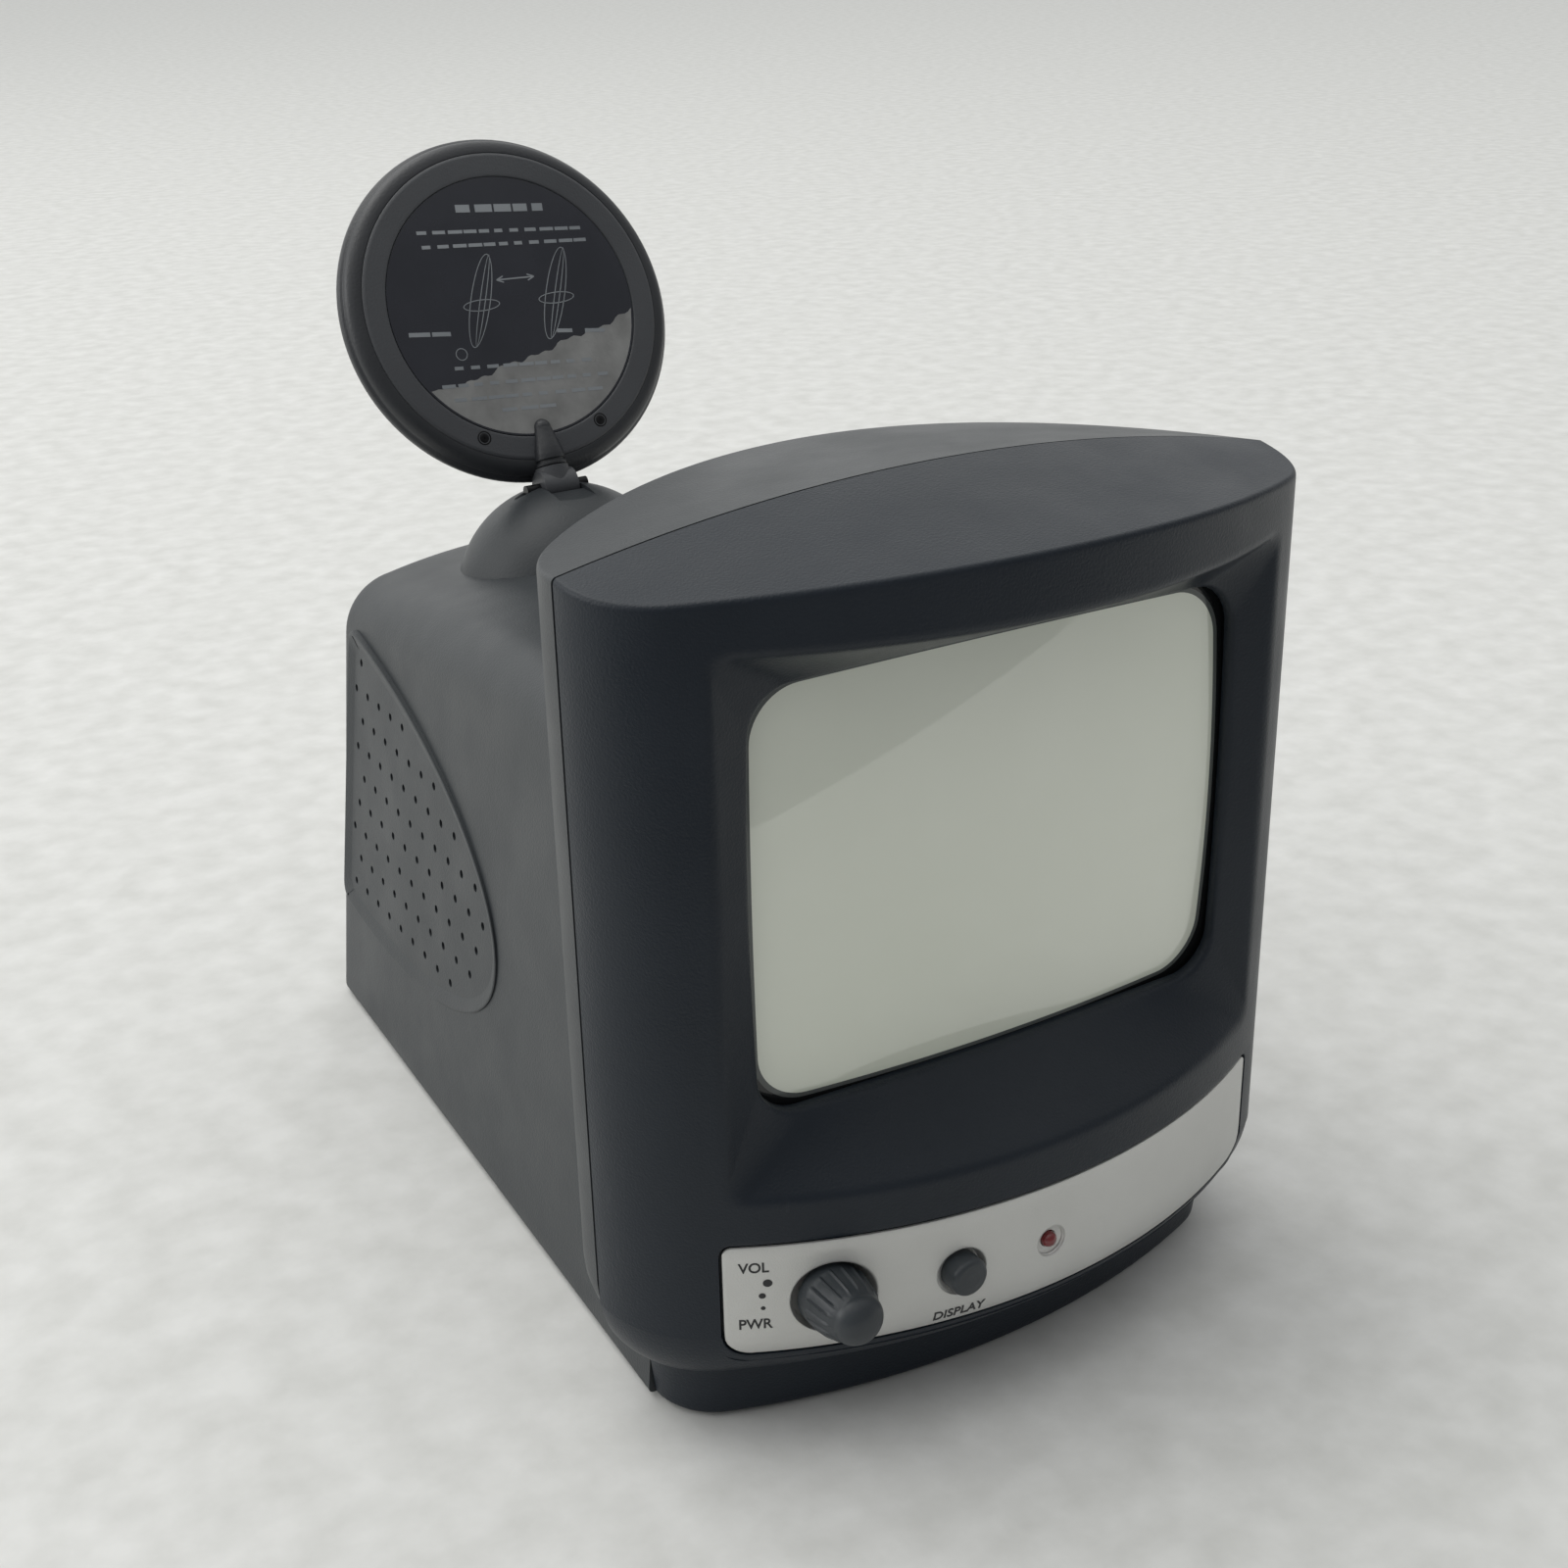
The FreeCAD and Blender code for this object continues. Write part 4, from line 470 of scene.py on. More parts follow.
def frontSkin(share, z, inset=0.0):
    toFoot = tuck(z)
    taper = 0.0
    if z < head["tuckLow"]:
        taper = head["footTaper"] * (head["tuckLow"] - z) / (head["tuckLow"] - head["floorGap"])
    x, y = planPoint(share, lerp(head["half"], head["footHalf"], toFoot),
                     lerp(head["frontBow"], head["footBow"], toFoot),
                     lerp(head["frontRound"], head["footRound"], toFoot), inset + taper)
    return x, y, z


def shareAt(x):
    # share along the front at this distance from the middle, for the long middle arc
    big, slope = biarc(head["half"], head["frontBow"], head["frontRound"])
    return arcShare * math.asin(x / big) / (math.pi / 2 - slope)


window = {
    "half": 55.9,
    "low": 73.6,
    "high": 160.1,
    "round": 9.0,
    "barrel": 0.9,
    "depth": 21.5,
    "lipEnd": 19.3,
    "dishHalf": 65.2,
    "dishLow": 59.5,
    "dishHigh": 169.5,
    "dishRound": 3.5,
    "softOuter": 1.6,
    "softInner": 1.5,
    "across": 64,
    "upward": 52,
    "cornerSteps": 7,
    "blockLow": 52.5,
    "blockHigh": 175.5,
}


def sideShares(count, corner):
    # positions along one side, corner steps first and last
    out = [("first", k / corner) for k in range(corner)]
    straight = count - 2 * corner
    out += [("straight", k / straight) for k in range(straight)]
    out += [("last", k / corner) for k in range(corner)]
    return out


def roundedLoop(half, low, high, radius, barrel=0.0):
    # closed loop of points in (x, z), from the low left corner round to the right
    loop = []
    sides = (((-half, low), (half, low), 225, window["across"]),
             ((half, low), (half, high), 315, window["upward"]),
             ((half, high), (-half, high), 45, window["across"]),
             ((-half, high), (-half, low), 135, window["upward"]))
    middle = (low + high) / 2
    for (ax, az), (bx, bz), start, count in sides:
        dx, dz = (bx > ax) - (bx < ax), (bz > az) - (bz < az)
        inX, inZ = -dz, dx
        for kind, share in sideShares(count, window["cornerSteps"]):
            if kind == "straight":
                reach = radius + (math.dist((ax, az), (bx, bz)) - 2 * radius) * share
                x, z = ax + dx * reach, az + dz * reach
            else:
                cx, cz = (ax, az) if kind == "first" else (bx, bz)
                back = 1 if kind == "first" else -1
                cx += (dx * back + inX) * radius
                cz += (dz * back + inZ) * radius
                turn = start + 45 * share if kind == "first" else start + 45 + 45 * share
                angle = math.radians(turn)
                x, z = cx + radius * math.cos(angle), cz + radius * math.sin(angle)
            if barrel:
                u, w = x / half, (z - middle) / (high - middle)
                x += barrel * u * (1 - w * w)
                z += barrel * w * (1 - u * u)
            loop.append((x, z))
    return loop


def blockLoop():
    # outline of the block of the front that holds the dish, in (share, z)
    loop = []
    corners = [(-arcShare, window["blockLow"]), (arcShare, window["blockLow"]),
               (arcShare, window["blockHigh"]), (-arcShare, window["blockHigh"])]
    for k in range(4):
        count = window["across"] if k % 2 == 0 else window["upward"]
        for j in range(count):
            loop.append(mix(corners[k], corners[(k + 1) % 4], j / count))
    return loop


panel = {
    "low": 23.8,
    "high": 49.5,
    "endShare": 0.703,
    "gap": 0.45,
    "upperRound": 2.0,
    "lowerRound": 5.0,
    "recess": 2.2,
    "thick": 1.6,
    "edge": 0.45,
    "lip": 0.35,
    "chinLow": 20.6,  # the band around the panel ends here
    "endSteps": 8,
    "endReach": 6.0,
    "reach": 99.1,  # millimetres along the front for a share of 1
    "columns": 72,
}


def shareSamples():
    ends = [lerp(-1.0, -arcShare, k / 14) for k in range(14)]
    middleOnes = [lerp(-arcShare, arcShare, k / window["across"]) for k in range(window["across"])]
    return ends + middleOnes + [lerp(arcShare, 1.0, k / 14) for k in range(15)]


def panelLimits(share, grow):
    # low and high edge of the panel outline at this share, with its rounded corners
    end = panel["endShare"] * panel["reach"] + grow
    away = end - abs(share) * panel["reach"]
    low, high = panel["low"] - grow, panel["high"] + grow
    for name, sign in (("upperRound", -1), ("lowerRound", 1)):
        radius = panel[name] + grow * 0.5
        if away < radius:
            drop = radius - math.sqrt(max(0.0, radius ** 2 - (radius - max(0.0, away)) ** 2))
            if sign < 0:
                high -= drop
            else:
                low += drop
    return low, high


def panelShares(grow):
    # shares along the panel, closer together at its rounded ends
    end = panel["endShare"] + grow / panel["reach"]
    inner = panel["endShare"] - panel["endReach"] / panel["reach"]
    ends = [end - (end - inner) * (1 - math.cos(math.pi / 2 * k / panel["endSteps"]))
            for k in range(panel["endSteps"])]
    count = panel["columns"]
    middleOnes = [lerp(-inner, inner, k / count) for k in range(count + 1)]
    return [-s for s in ends] + middleOnes + [s for s in reversed(ends)]


def patchDish(sheet):
    # the dished surround as rings from the bowed front to the window
    softOuter, softInner, depth = window["softOuter"], window["softInner"], window["depth"]
    skinLoop = roundedLoop(window["dishHalf"] + softOuter, window["dishLow"] - softOuter,
                           window["dishHigh"] + softOuter, window["dishRound"] + softOuter)
    dishLoop = roundedLoop(window["dishHalf"], window["dishLow"], window["dishHigh"], window["dishRound"])
    rimLoop = roundedLoop(window["half"], window["low"], window["high"], window["round"],
                          window["barrel"])
    outer = blockLoop()
    onSkin = [(shareAt(x), z) for x, z in skinLoop]
    rows = []
    for step in range(9, -1, -1):
        rows.append([frontSkin(*mix(a, b, step / 9)) for a, b in zip(onSkin, outer)])
    start = rows[-1]
    crest = [frontSkin(shareAt(x), z) for x, z in dishLoop]
    rim = [(x, -depth, z) for x, z in rimLoop]
    past = [mix(a, b, softOuter / math.dist(a, b)) for a, b in zip(crest, rim)]
    near = [mix(b, a, softInner / math.dist(a, b)) for a, b in zip(crest, rim)]
    lip = [(x, -depth + softInner, z) for x, y, z in rim]
    for step in range(1, 6):
        rows.append([bend(a, b, c, step / 5) for a, b, c in zip(start, crest, past)])
    for step in range(1, 9):
        rows.append([mix(a, b, step / 8) for a, b in zip(past, near)])
    for step in range(1, 6):
        rows.append([bend(a, b, c, step / 5) for a, b, c in zip(near, rim, lip)])
    rows.append([(x, -window["lipEnd"], z) for x, y, z in rim])
    sheet.patch(rows, closed=True)


def patchSides(sheet, shares):
    # side strips beside the block that holds the dish
    heights = [lerp(window["blockLow"], window["blockHigh"], k / window["upward"])
               for k in range(window["upward"] + 1)]
    for sign in (-1, 1):
        strip = [s for s in shares if s * sign >= arcShare - 1e-9]
        sheet.patch([[frontSkin(s, z) for s in strip] for z in heights])


def patchBrow(sheet, shares):
    # the strip above the block, its rounded edge, and the roof back to the seam
    soft = head["edgeRound"]
    rows = []
    edges = [planPoint(s, head["half"], head["frontBow"], head["frontRound"]) for s in shares]
    inner = [planPoint(s, head["half"], head["frontBow"], head["frontRound"], soft) for s in shares]
    for step in range(6):
        rows.append([(x, y, lerp(window["blockHigh"], roofHeight(x, y) - soft, step / 5))
                     for x, y in edges])
    for step in range(1, 6):
        rows.append(roofEdge(edges, inner, soft, math.pi / 2 * step / 5))
    for step in range(1, 11):
        rows.append([(ix, iy * (1 - step / 10), roofHeight(ix, iy * (1 - step / 10))) for ix, iy in inner])
    sheet.patch(rows)


def roofEdge(edges, inner, soft, turn):
    # one line of points around the soft edge between a wall and the roof
    out = math.cos(turn)
    row = []
    for (x, y), (ix, iy) in zip(edges, inner):
        z = lerp(roofHeight(x, y) - soft, roofHeight(ix, iy), math.sin(turn))
        row.append((lerp(ix, x, out), lerp(iy, y, out), z))
    return row


def patchPanelBand(sheet):
    # the band around the control panel, with a recess for it
    cover = panel["gap"]
    columns = panelShares(cover)
    end = columns[-1]
    outside = end + 0.0012
    strips = [lerp(-1.0, -outside, k / 20) for k in range(21)] + columns
    strips = strips + [lerp(outside, 1.0, k / 20) for k in range(21)]
    lip = panel["lip"]
    top = window["blockLow"]
    rows = [[] for _ in range(16)]
    for s in strips:
        low, high = panelLimits(s, cover)
        deep = panel["recess"] if abs(s) <= end + 1e-9 else 0.0
        edge = lip if deep else 0.0
        spots = [frontSkin(s, top), frontSkin(s, lerp(top, high + lip, 0.6)), frontSkin(s, high + lip),
                 frontSkin(s, high + lip * 0.3, edge * 0.3), frontSkin(s, high, edge)]
        x, y, level = frontSkin(s, head["tuckHigh"], deep)
        spots += [(x, y, z) for z in (high, lerp(high, low, 0.12), lerp(high, low, 0.88), low)]
        spots.append(frontSkin(s, low, edge))
        spots.append(frontSkin(s, low - lip * 0.3, edge * 0.3))
        spots.append(frontSkin(s, low - lip))
        spots += [frontSkin(s, lerp(low - lip, panel["chinLow"], k / 4)) for k in range(1, 5)]
        for row, spot in zip(rows, spots):
            row.append(spot)
    keep = panel["endShare"] - 0.03
    sheet.patch(rows, skip=lambda i, j: i == 6 and abs(strips[j]) < keep and abs(strips[j + 1]) < keep)
    return strips


def patchFoot(sheet, strips):
    # chin, foot and floor of the bezel
    rows = [[frontSkin(s, z) for s in strips] for z in (panel["chinLow"], *head["footRows"])]
    low = head["floorGap"]
    soft = head["floorRound"]
    for step in range(1, 5):
        turn = math.pi / 2 * step / 4
        rows.append([frontSkin(s, low + soft - math.sin(turn), 1 - math.cos(turn)) for s in strips])
    flat = [frontSkin(s, low, soft) for s in strips]
    for step in range(1, 7):
        rows.append([(x, y * (1 - step / 6), low) for x, y, z in flat])
    sheet.patch(rows)


def makeBezel():
    sheet = Sheet()
    shares = shareSamples()
    patchDish(sheet)
    patchSides(sheet, shares)
    patchBrow(sheet, shares)
    patchFoot(sheet, patchPanelBand(sheet))
    bezel = sheet.build("bezel")
    thicken(bezel, head["wall"])
    smoothShade(bezel, head["sharpEdge"])
    return finishPiece(bezel, "chassis", materials["bezel"], ["front_bezel"])


makeBezel()
print("bezel made")

# Rear casing: the back half of the head and the tapering body.

body = {
    "end": bodyEnd,
    "half": 72.0,
    "halfEnd": 61.0,
    "lean": 11.0,
    "top": 150.0,
    "topEnd": 124.0,
    "crown": 4.0,
    "shoulder": 16.0,
    "backRound": 5.0,
    "base": 1.2,
    "middle": 62.0,  # the back closes towards this height
    "fillet": 15.0,
    "rings": 72,
    # x, z and radius of the holes in the back
    "rearHoles": ((-22.0, 62.0, 3.9), (0.0, 62.0, 3.9), (22.0, 62.0, 3.9), (30.0, 30.0, 5.35),
                  (-34.0, 30.0, 5.8)),
}


def bodyRing(y, inset=0.0):
    # half of the cross section from the middle of the floor up to the middle of the roof
    share = y / body["end"]
    low = lerp(body["half"], body["halfEnd"], share) - inset
    top = lerp(body["top"], body["topEnd"], share) - inset
    base = body["base"] + inset
    corner = body["shoulder"] - inset
    shoulder = low - body["lean"]
    tilt = math.atan2(body["lean"], top - base)
    cx, cz = shoulder - corner, top - corner - body["crown"]
    ring = [(low * k / 8 * 0.985, base) for k in range(8)]
    for k in range(5):
        turn = k / 4
        ring.append(bend((low - 1.4, base), (low, base), (low - 0.1, base + 1.4), turn))
    start = (cx + corner * math.cos(tilt), cz + corner * math.sin(tilt))
    ring += [mix(ring[-1], start, k / 34) for k in range(1, 34)]
    over = math.radians(82)
    for k in range(15):
        turn = lerp(tilt, over, k / 14)
        ring.append((cx + corner * math.cos(turn), cz + corner * math.sin(turn)))
    ex, ez = ring[-1]
    for k in range(1, 17):
        x = ex * (1 - k / 16)
        ring.append((x, top - (top - ez) * (x / ex) ** 2))
    return ring


def awayFromHead(x, y):
    # rough distance of a point in plan behind the back of the head
    big, slope = biarc(head["half"], head["rearBow"], head["rearRound"])
    x = abs(x)
    cy = -(big - head["rearBow"])
    if math.atan2(y - cy, x) >= slope:
        return math.hypot(x, y - cy) - big
    return math.hypot(x - (head["half"] - head["rearRound"]), y) - head["rearRound"]


def leavingHead():
    # for each line along the body, how far behind the seam it comes out of the head
    start = head["seamGap"]
    rings = body["rings"]
    long = body["end"] - body["backRound"] - start
    stations = [start + long * (k / rings) for k in range(rings + 1)]
    plain = [bodyRing(y) for y in stations]
    firsts = []
    for j in range(len(plain[0])):
        first = start
        for k in range(rings + 1):
            x, z = plain[k][j]
            if z > head["tuckHigh"] and awayFromHead(x, stations[k]) < -0.3:
                first = stations[k]
        firsts.append(first)
    return firsts


def filletedPoint(j, y):
    # point of line j at y, lifted near the head by the fillet between them
    ring = bodyRing(y)
    x, z = ring[j]
    before = ring[max(0, j - 1)]
    after = ring[min(len(ring) - 1, j + 1)]
    dx, dz = after[0] - before[0], after[1] - before[1]
    span = math.hypot(dx, dz)
    nx, nz = dz / span, -dx / span
    away = max(0.0, awayFromHead(x, y))
    radius = body["fillet"] * smooth((nz - 0.12) / 0.6)
    lift = 0.0
    if away < radius:
        lift = radius - math.sqrt(radius ** 2 - (radius - away) ** 2)
    return x + nx * lift, y, z + nz * lift


def makeBody():
    rings = body["rings"]
    corner = body["backRound"]
    steps = 7
    lines = []
    for j, first in enumerate(leavingHead()):
        line = []
        for k in range(rings + 1):
            share = (k / rings) ** 1.25
            line.append(filletedPoint(j, lerp(first, body["end"] - corner, share)))
        for k in range(1, steps + 1):
            turn = math.pi / 2 * k / steps
            inset = corner * (1 - math.cos(turn))
            y = body["end"] - corner * (1 - math.sin(turn))
            x, z = bodyRing(y, inset * 0.9)[j]
            line.append((x, y, z))
        x, z = line[-1][0], line[-1][2]
        for k in range(1, 6):
            line.append((x * (1 - k / 5), body["end"], lerp(z, body["middle"], k / 5)))
        lines.append(line)
    sheet = Sheet()
    sheet.patch(lines)
    sheet.patch([[(-x, y, z) for x, y, z in line] for line in lines])
    return sheet.build("body")


def bodyHeightAt(x, y):
    # height of the body's surface over a point in plan
    ring = bodyRing(y)
    side = ring[13:]
    best = side[0][1]
    for a, b in zip(side, side[1:]):
        if b[0] <= abs(x) <= a[0]:
            share = (a[0] - abs(x)) / max(1e-6, a[0] - b[0])
            return lerp(a[1], b[1], share)
    if abs(x) > side[0][0]:
        return 0.0
    return best


def makeHeadBack():
    sheet = Sheet()
    soft = head["edgeRound"]
    count = 90
    shares = [lerp(-1.0, 1.0, k / count) for k in range(count + 1)]
    gap = head["seamGap"]
    step = head["tuckHigh"]

    def plan(s, inset):
        x, y = planPoint(s, head["half"], head["rearBow"], head["rearRound"], inset, 1)
        return x, max(gap, y)

    edges = [plan(s, 0.0) for s in shares]
    inner = [plan(s, soft) for s in shares]
    lows = []
    for x, y in edges:
        covered = bodyHeightAt(x, y)
        lows.append(max(step + 2.0, covered - 1.5) if covered > step else step + 2.0)
    rows = []
    tucked = [low < step + 2.5 for low in lows]
    # below the head the skirt turns in under it, and inside the body it only drops out of sight
    for k in range(6, -1, -1):
        turn = math.pi / 2 * k / 6
        row = []
        for s, isLow, low in zip(shares, tucked, lows):
            inset = 9.0 * (1 - math.cos(turn)) if isLow else 2.0
            drop = 12.0 * math.sin(turn)
            x, y = plan(s, inset)
            row.append((x, y, low - drop if isLow else low - 2.0 - 0.1 * k))
        rows.append(row)
    for k in range(1, 31):
        row = []
        for (x, y), low in zip(edges, lows):
            row.append((x, y, lerp(low, roofHeight(x, y) - soft, k / 30)))
        rows.append(row)
    for k in range(1, 6):
        rows.append(roofEdge(edges, inner, soft, math.pi / 2 * k / 5))
    for k in range(1, 13):
        row = []
        for ix, iy in inner:
            y = lerp(iy, gap, k / 12)
            row.append((ix, y, roofHeight(ix, y)))
        rows.append(row)
    sheet.patch(rows)
    return sheet.build("headBack")


# Side grilles: a leaf set a little below the wall, with slanted rows of holes.

grille = {
    "y": 197.0,
    "z": 69.6,
    "lean": 6.0,
    "long": 109.0,
    "wide": 40.0,
    "rowTurn": 52.0,
    "deep": 0.8,
    "thick": 1.6,
    "band": 3.4,
    "hole": 1.05,
    "pitch": 9.3,
    "around": 120,
}


def wallX(y, z):
    share = y / body["end"]
    low = lerp(body["half"], body["halfEnd"], share)
    top = lerp(body["top"], body["topEnd"], share)
    return low - body["lean"] * (z - body["base"]) / (top - body["base"])


def onWall(side, u, v, height):
    # point of the leaf on the side wall: u runs back along the leaf, v across it, height outward
    lean = math.radians(grille["lean"])
    y = grille["y"] + u * math.cos(lean) - v * math.sin(lean)
    z = grille["z"] + u * math.sin(lean) + v * math.cos(lean)
    return side * (wallX(y, z) + height), y, z


def leafOutline(grow):
    # half an ellipse that opens towards the back, closed by an upright edge with round corners
    out = []
    count = grille["around"]
    for k in range(count):
        turn = math.pi / 2 + math.pi * k / (count - 1)
        out.append(((grille["long"] + grow) * math.cos(turn), (grille["wide"] + grow) * math.sin(turn)))
    low, high = out[-1][1], out[0][1]
    corner = 4.0
    for k in range(1, 5):
        turn = math.pi / 2 * k / 4
        out.append((corner * math.sin(turn) + grow, low + corner * (1 - math.cos(turn))))
    for k in range(1, 16):
        out.append((corner + grow, lerp(low + corner, high - corner, k / 15)))
    for k in range(1, 4):
        turn = math.pi / 2 * k / 4
        out.append((corner * math.cos(turn) + grow, high - corner * (1 - math.sin(turn))))
    return out


def leafPrism(name, side, grow, low, high):
    rows = []
    for reach, height in ((0.0, low), (1.0, low), (1.0, high), (0.0, high)):
        row = []
        for u, v in leafOutline(grow):
            row.append(onWall(side, lerp(-30.0, u, reach), v * reach, height))
        rows.append(row)
    sheet = Sheet()
    sheet.patch(rows, closed=True)
    return sheet.build(name)


def grilleHoles():
    # slanted rows of holes over the leaf
    spots = []
    count = int(grille["long"] * 1.3 / grille["pitch"])
    lean = math.radians(grille["rowTurn"])
    for row in range(-count, count + 1):
        for column in range(-count, count + 1):
            a = grille["pitch"] * (column + 0.5 * (row % 2))
            b = grille["pitch"] * row * 0.87
            u = a * math.cos(lean) - b * math.sin(lean)
            v = a * math.sin(lean) + b * math.cos(lean)
            inLeaf = (u / (grille["long"] - 6.5)) ** 2 + (v / (grille["wide"] - 6.0)) ** 2 < 1
            if inLeaf and u < 0:
                spots.append((u, v))
    return spots


def makeGrille(side, name, node):
    top = -grille["deep"]
    loops = []
    # flat leaf, then a sloped band that rises to the wall along its edge
    for shrink, height in ((-0.1, top - grille["thick"]), (-0.1, -0.25), (0.25, -0.1), (0.9, -0.16),
                           (grille["band"], top - 0.25), (grille["band"] + 0.5, top - 0.3)):
        loops.append((shrink, height))
    rows = [[onWall(side, u, v, height) for u, v in leafOutline(-shrink)]
            for shrink, height in loops]
    sheet = Sheet()
    sheet.patch(rows, closed=True)
    rim = sheet.build(name)
    # the perforated leaf comes from an outline with holes in it, filled and extruded
    curve = bpy.data.curves.new(name, "CURVE")
    curve.dimensions = "2D"
    curve.fill_mode = "BOTH"
    curve.extrude = 0.5
    loopsFlat = [leafOutline(-3.8)]
    for u, v in grilleHoles():
        loopsFlat.append([(u + grille["hole"] * math.cos(math.pi * k / 8),
                           v + grille["hole"] * math.sin(math.pi * k / 8)) for k in range(16)])
    for flat in loopsFlat:
        spline = curve.splines.new("POLY")
        spline.points.add(len(flat) - 1)
        for point, (u, v) in zip(spline.points, flat):
            point.co = (u, v, 0, 1)
        spline.use_cyclic_u = True
    holder = bpy.data.objects.new(name, curve)
    bpy.context.scene.collection.objects.link(holder)
    graph = bpy.context.evaluated_depsgraph_get()
    mesh = bpy.data.meshes.new_from_object(holder.evaluated_get(graph))
    bpy.data.objects.remove(holder)
    spots = [world(*onWall(side, v.co.x, v.co.y, top - 0.8 + v.co.z)) for v in mesh.vertices]
    leaf = meshObject(name + "Leaf", spots, [list(f.vertices) for f in mesh.polygons])
    whole = joined([smoothShade(rim, 25), leaf])
    whole.name = name
    return finishPiece(whole, "chassis", materials["casing"], [node])


def makeCasing():
    trunk = makeBody()
    thicken(trunk, head["wall"])
    for side in (-1, 1):
        cutWith(trunk, leafPrism("leafCutter", side, 0.15, -9.0, 9.0))
    for x, z, radius in body["rearHoles"]:
        cutWith(trunk, rod("rearCutter", (x, body["end"] - 12, z), (0, 1, 0), radius, 0, 30))
    back = makeHeadBack()
    thicken(back, head["wall"])
    casing = joined([trunk, back])
    casing.name = "casing"
    smoothShade(casing, head["sharpEdge"])
    return finishPiece(casing, "chassis", materials["casing"], ["rear_casing"])


makeCasing()
print("casing made")

# Control panel with its cups, knob, button, lamp and legends.

controls = {
    "knobRound": 7.0,
    "knobCup": 8.1,
    "knobFloor": 27.6,
    "buttonRound": 4.15,
    "buttonCup": 5.2,
    "buttonFloor": 37.4,
    "lampRound": 1.75,
    "lampCup": 3.4,
    "lampFloor": 39.4,
    "roll": 0.45,
    "ridges": 18,
    "ridgeHigh": 0.42,
}


def skinAt(x, z, inset=0.0):
    # y of the front over its long middle arc
    toFoot = tuck(z)
    half = lerp(head["half"], head["footHalf"], toFoot)
    bow = lerp(head["frontBow"], head["footBow"], toFoot)
    corner = lerp(head["frontRound"], head["footRound"], toFoot)
    big, slope = biarc(half, bow, corner)
    return -(math.sqrt((big - inset) ** 2 - x ** 2) - (big - bow))


def makeCup(name, x, z, rim, floor, depth, bore):
    rows = []
    roll = controls["roll"]
    profile = [(rim + roll * (1 - k / 4) ** 2, roll * (k / 4) ** 2, True) for k in range(5)]
    profile += [(lerp(rim, floor, 0.5), 0.5, None), (floor + 0.2, 1.0, None)]
    profile += [(floor - 0.4, -0.3, False), (bore, -0.3, False), (bore, -1.8, False)]
    for radius, deep, onSkin in profile:
        row = []
        for k in range(72):
            turn = 2 * math.pi * k / 72
            px, pz = x + radius * math.cos(turn), z + radius * math.sin(turn)
            surface = skinAt(px, pz) + 0.06
            if onSkin:
                y = surface + deep
            elif onSkin is None:
                y = lerp(surface + roll, -depth - 0.3, deep)
            else:
                y = -depth - deep - 0.3
            row.append((px, y, pz))
        rows.append(row)
    sheet = Sheet()
    sheet.patch(rows, closed=True)
    return smoothShade(sheet.build(name, toward=(0, -1, 0)), 30)


def makePanel():
    columns = panelShares(0.0)
    last = len(columns) - 1
    edge = panel["edge"]
    levels = [(0.0, edge), (0.12, edge * 0.3), (edge, 0.0)]
    rows = []
    for k in range(len(levels) * 2 + 9):
        row = []
        for j, s in enumerate(columns):
            low, high = panelLimits(s, 0.0)
            endDrop = {0: edge, 1: edge * 0.3}.get(min(j, last - j), 0.0)
            if k < 3:
                z, drop = high - levels[k][0], levels[k][1]
            elif k > 11:
                z, drop = low + levels[14 - k][0], levels[14 - k][1]
            else:
                z, drop = lerp(high - edge, low + edge, (k - 2) / 10), 0.0
            row.append(frontSkin(s, z, 0.06 + max(drop, endDrop)))
        rows.append(row)
    sheet = Sheet()
    sheet.patch(rows)
    strip = sheet.build("controlPanel", toward=(0, -1, 0))
    thicken(strip, panel["thick"])
    cups = []
    for node, rim, floor, bore in (("volume_knob", "knobCup", "knobFloor", 4.4),
                                   ("display_button", "buttonCup", "buttonFloor", 4.4),
                                   ("power_led", "lampCup", "lampFloor", 1.9)):
        spot = middleOf(node)
        reach = controls[rim]
        hole = reach + controls["roll"]
        cutWith(strip, rod("cutter", (spot.x, 0, spot.z), (0, -1, 0), hole, 15, 60))
        cups.append(makeCup("cup", spot.x, spot.z, reach, reach * 0.86, controls[floor], bore))
    smoothShade(strip, 30)
    strip = joined([strip] + cups)
    return finishPiece(strip, "chassis", materials["silver"], ["control_panel"])


def makeKnob():
    low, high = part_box("volume_knob")
    spot = middleOf("volume_knob")
    base = local(high).y
    tip = local(low).y
    long = base - tip
    radius = controls["knobRound"]
    profile = [(3.1, 0.2), (radius - 0.5, 0.0), (radius, 0.5), (radius, 2.9), (radius * 0.985, 4.2)]
    profile += [(radius * 0.955, 6.0), (radius * 0.915, 8.0), (radius * 0.85, 9.8), (radius * 0.79, 10.9)]
    dome = radius * 0.77
    profile += [(dome * math.cos(math.radians(a)), 11.3 + (long - 11.3) * math.sin(math.radians(a)))
                for a in range(0, 91, 9)]

    def ridge(r, h, turn):
        share = smooth((h - 2.9) / 1.2) * smooth((11.0 - h) / 2.2)
        return share * (controls["ridgeHigh"] * max(0.0, math.cos(controls["ridges"] * turn)) ** 6 - 0.15)

    knob = turnedPiece("volumeKnob", profile, placeAlong((spot.x, base, spot.z), (0, -1, 0)), 216, 0.35,
                       ripple=ridge)
    return finishPiece(knob, "volume", materials["knob"], ["volume_knob"])


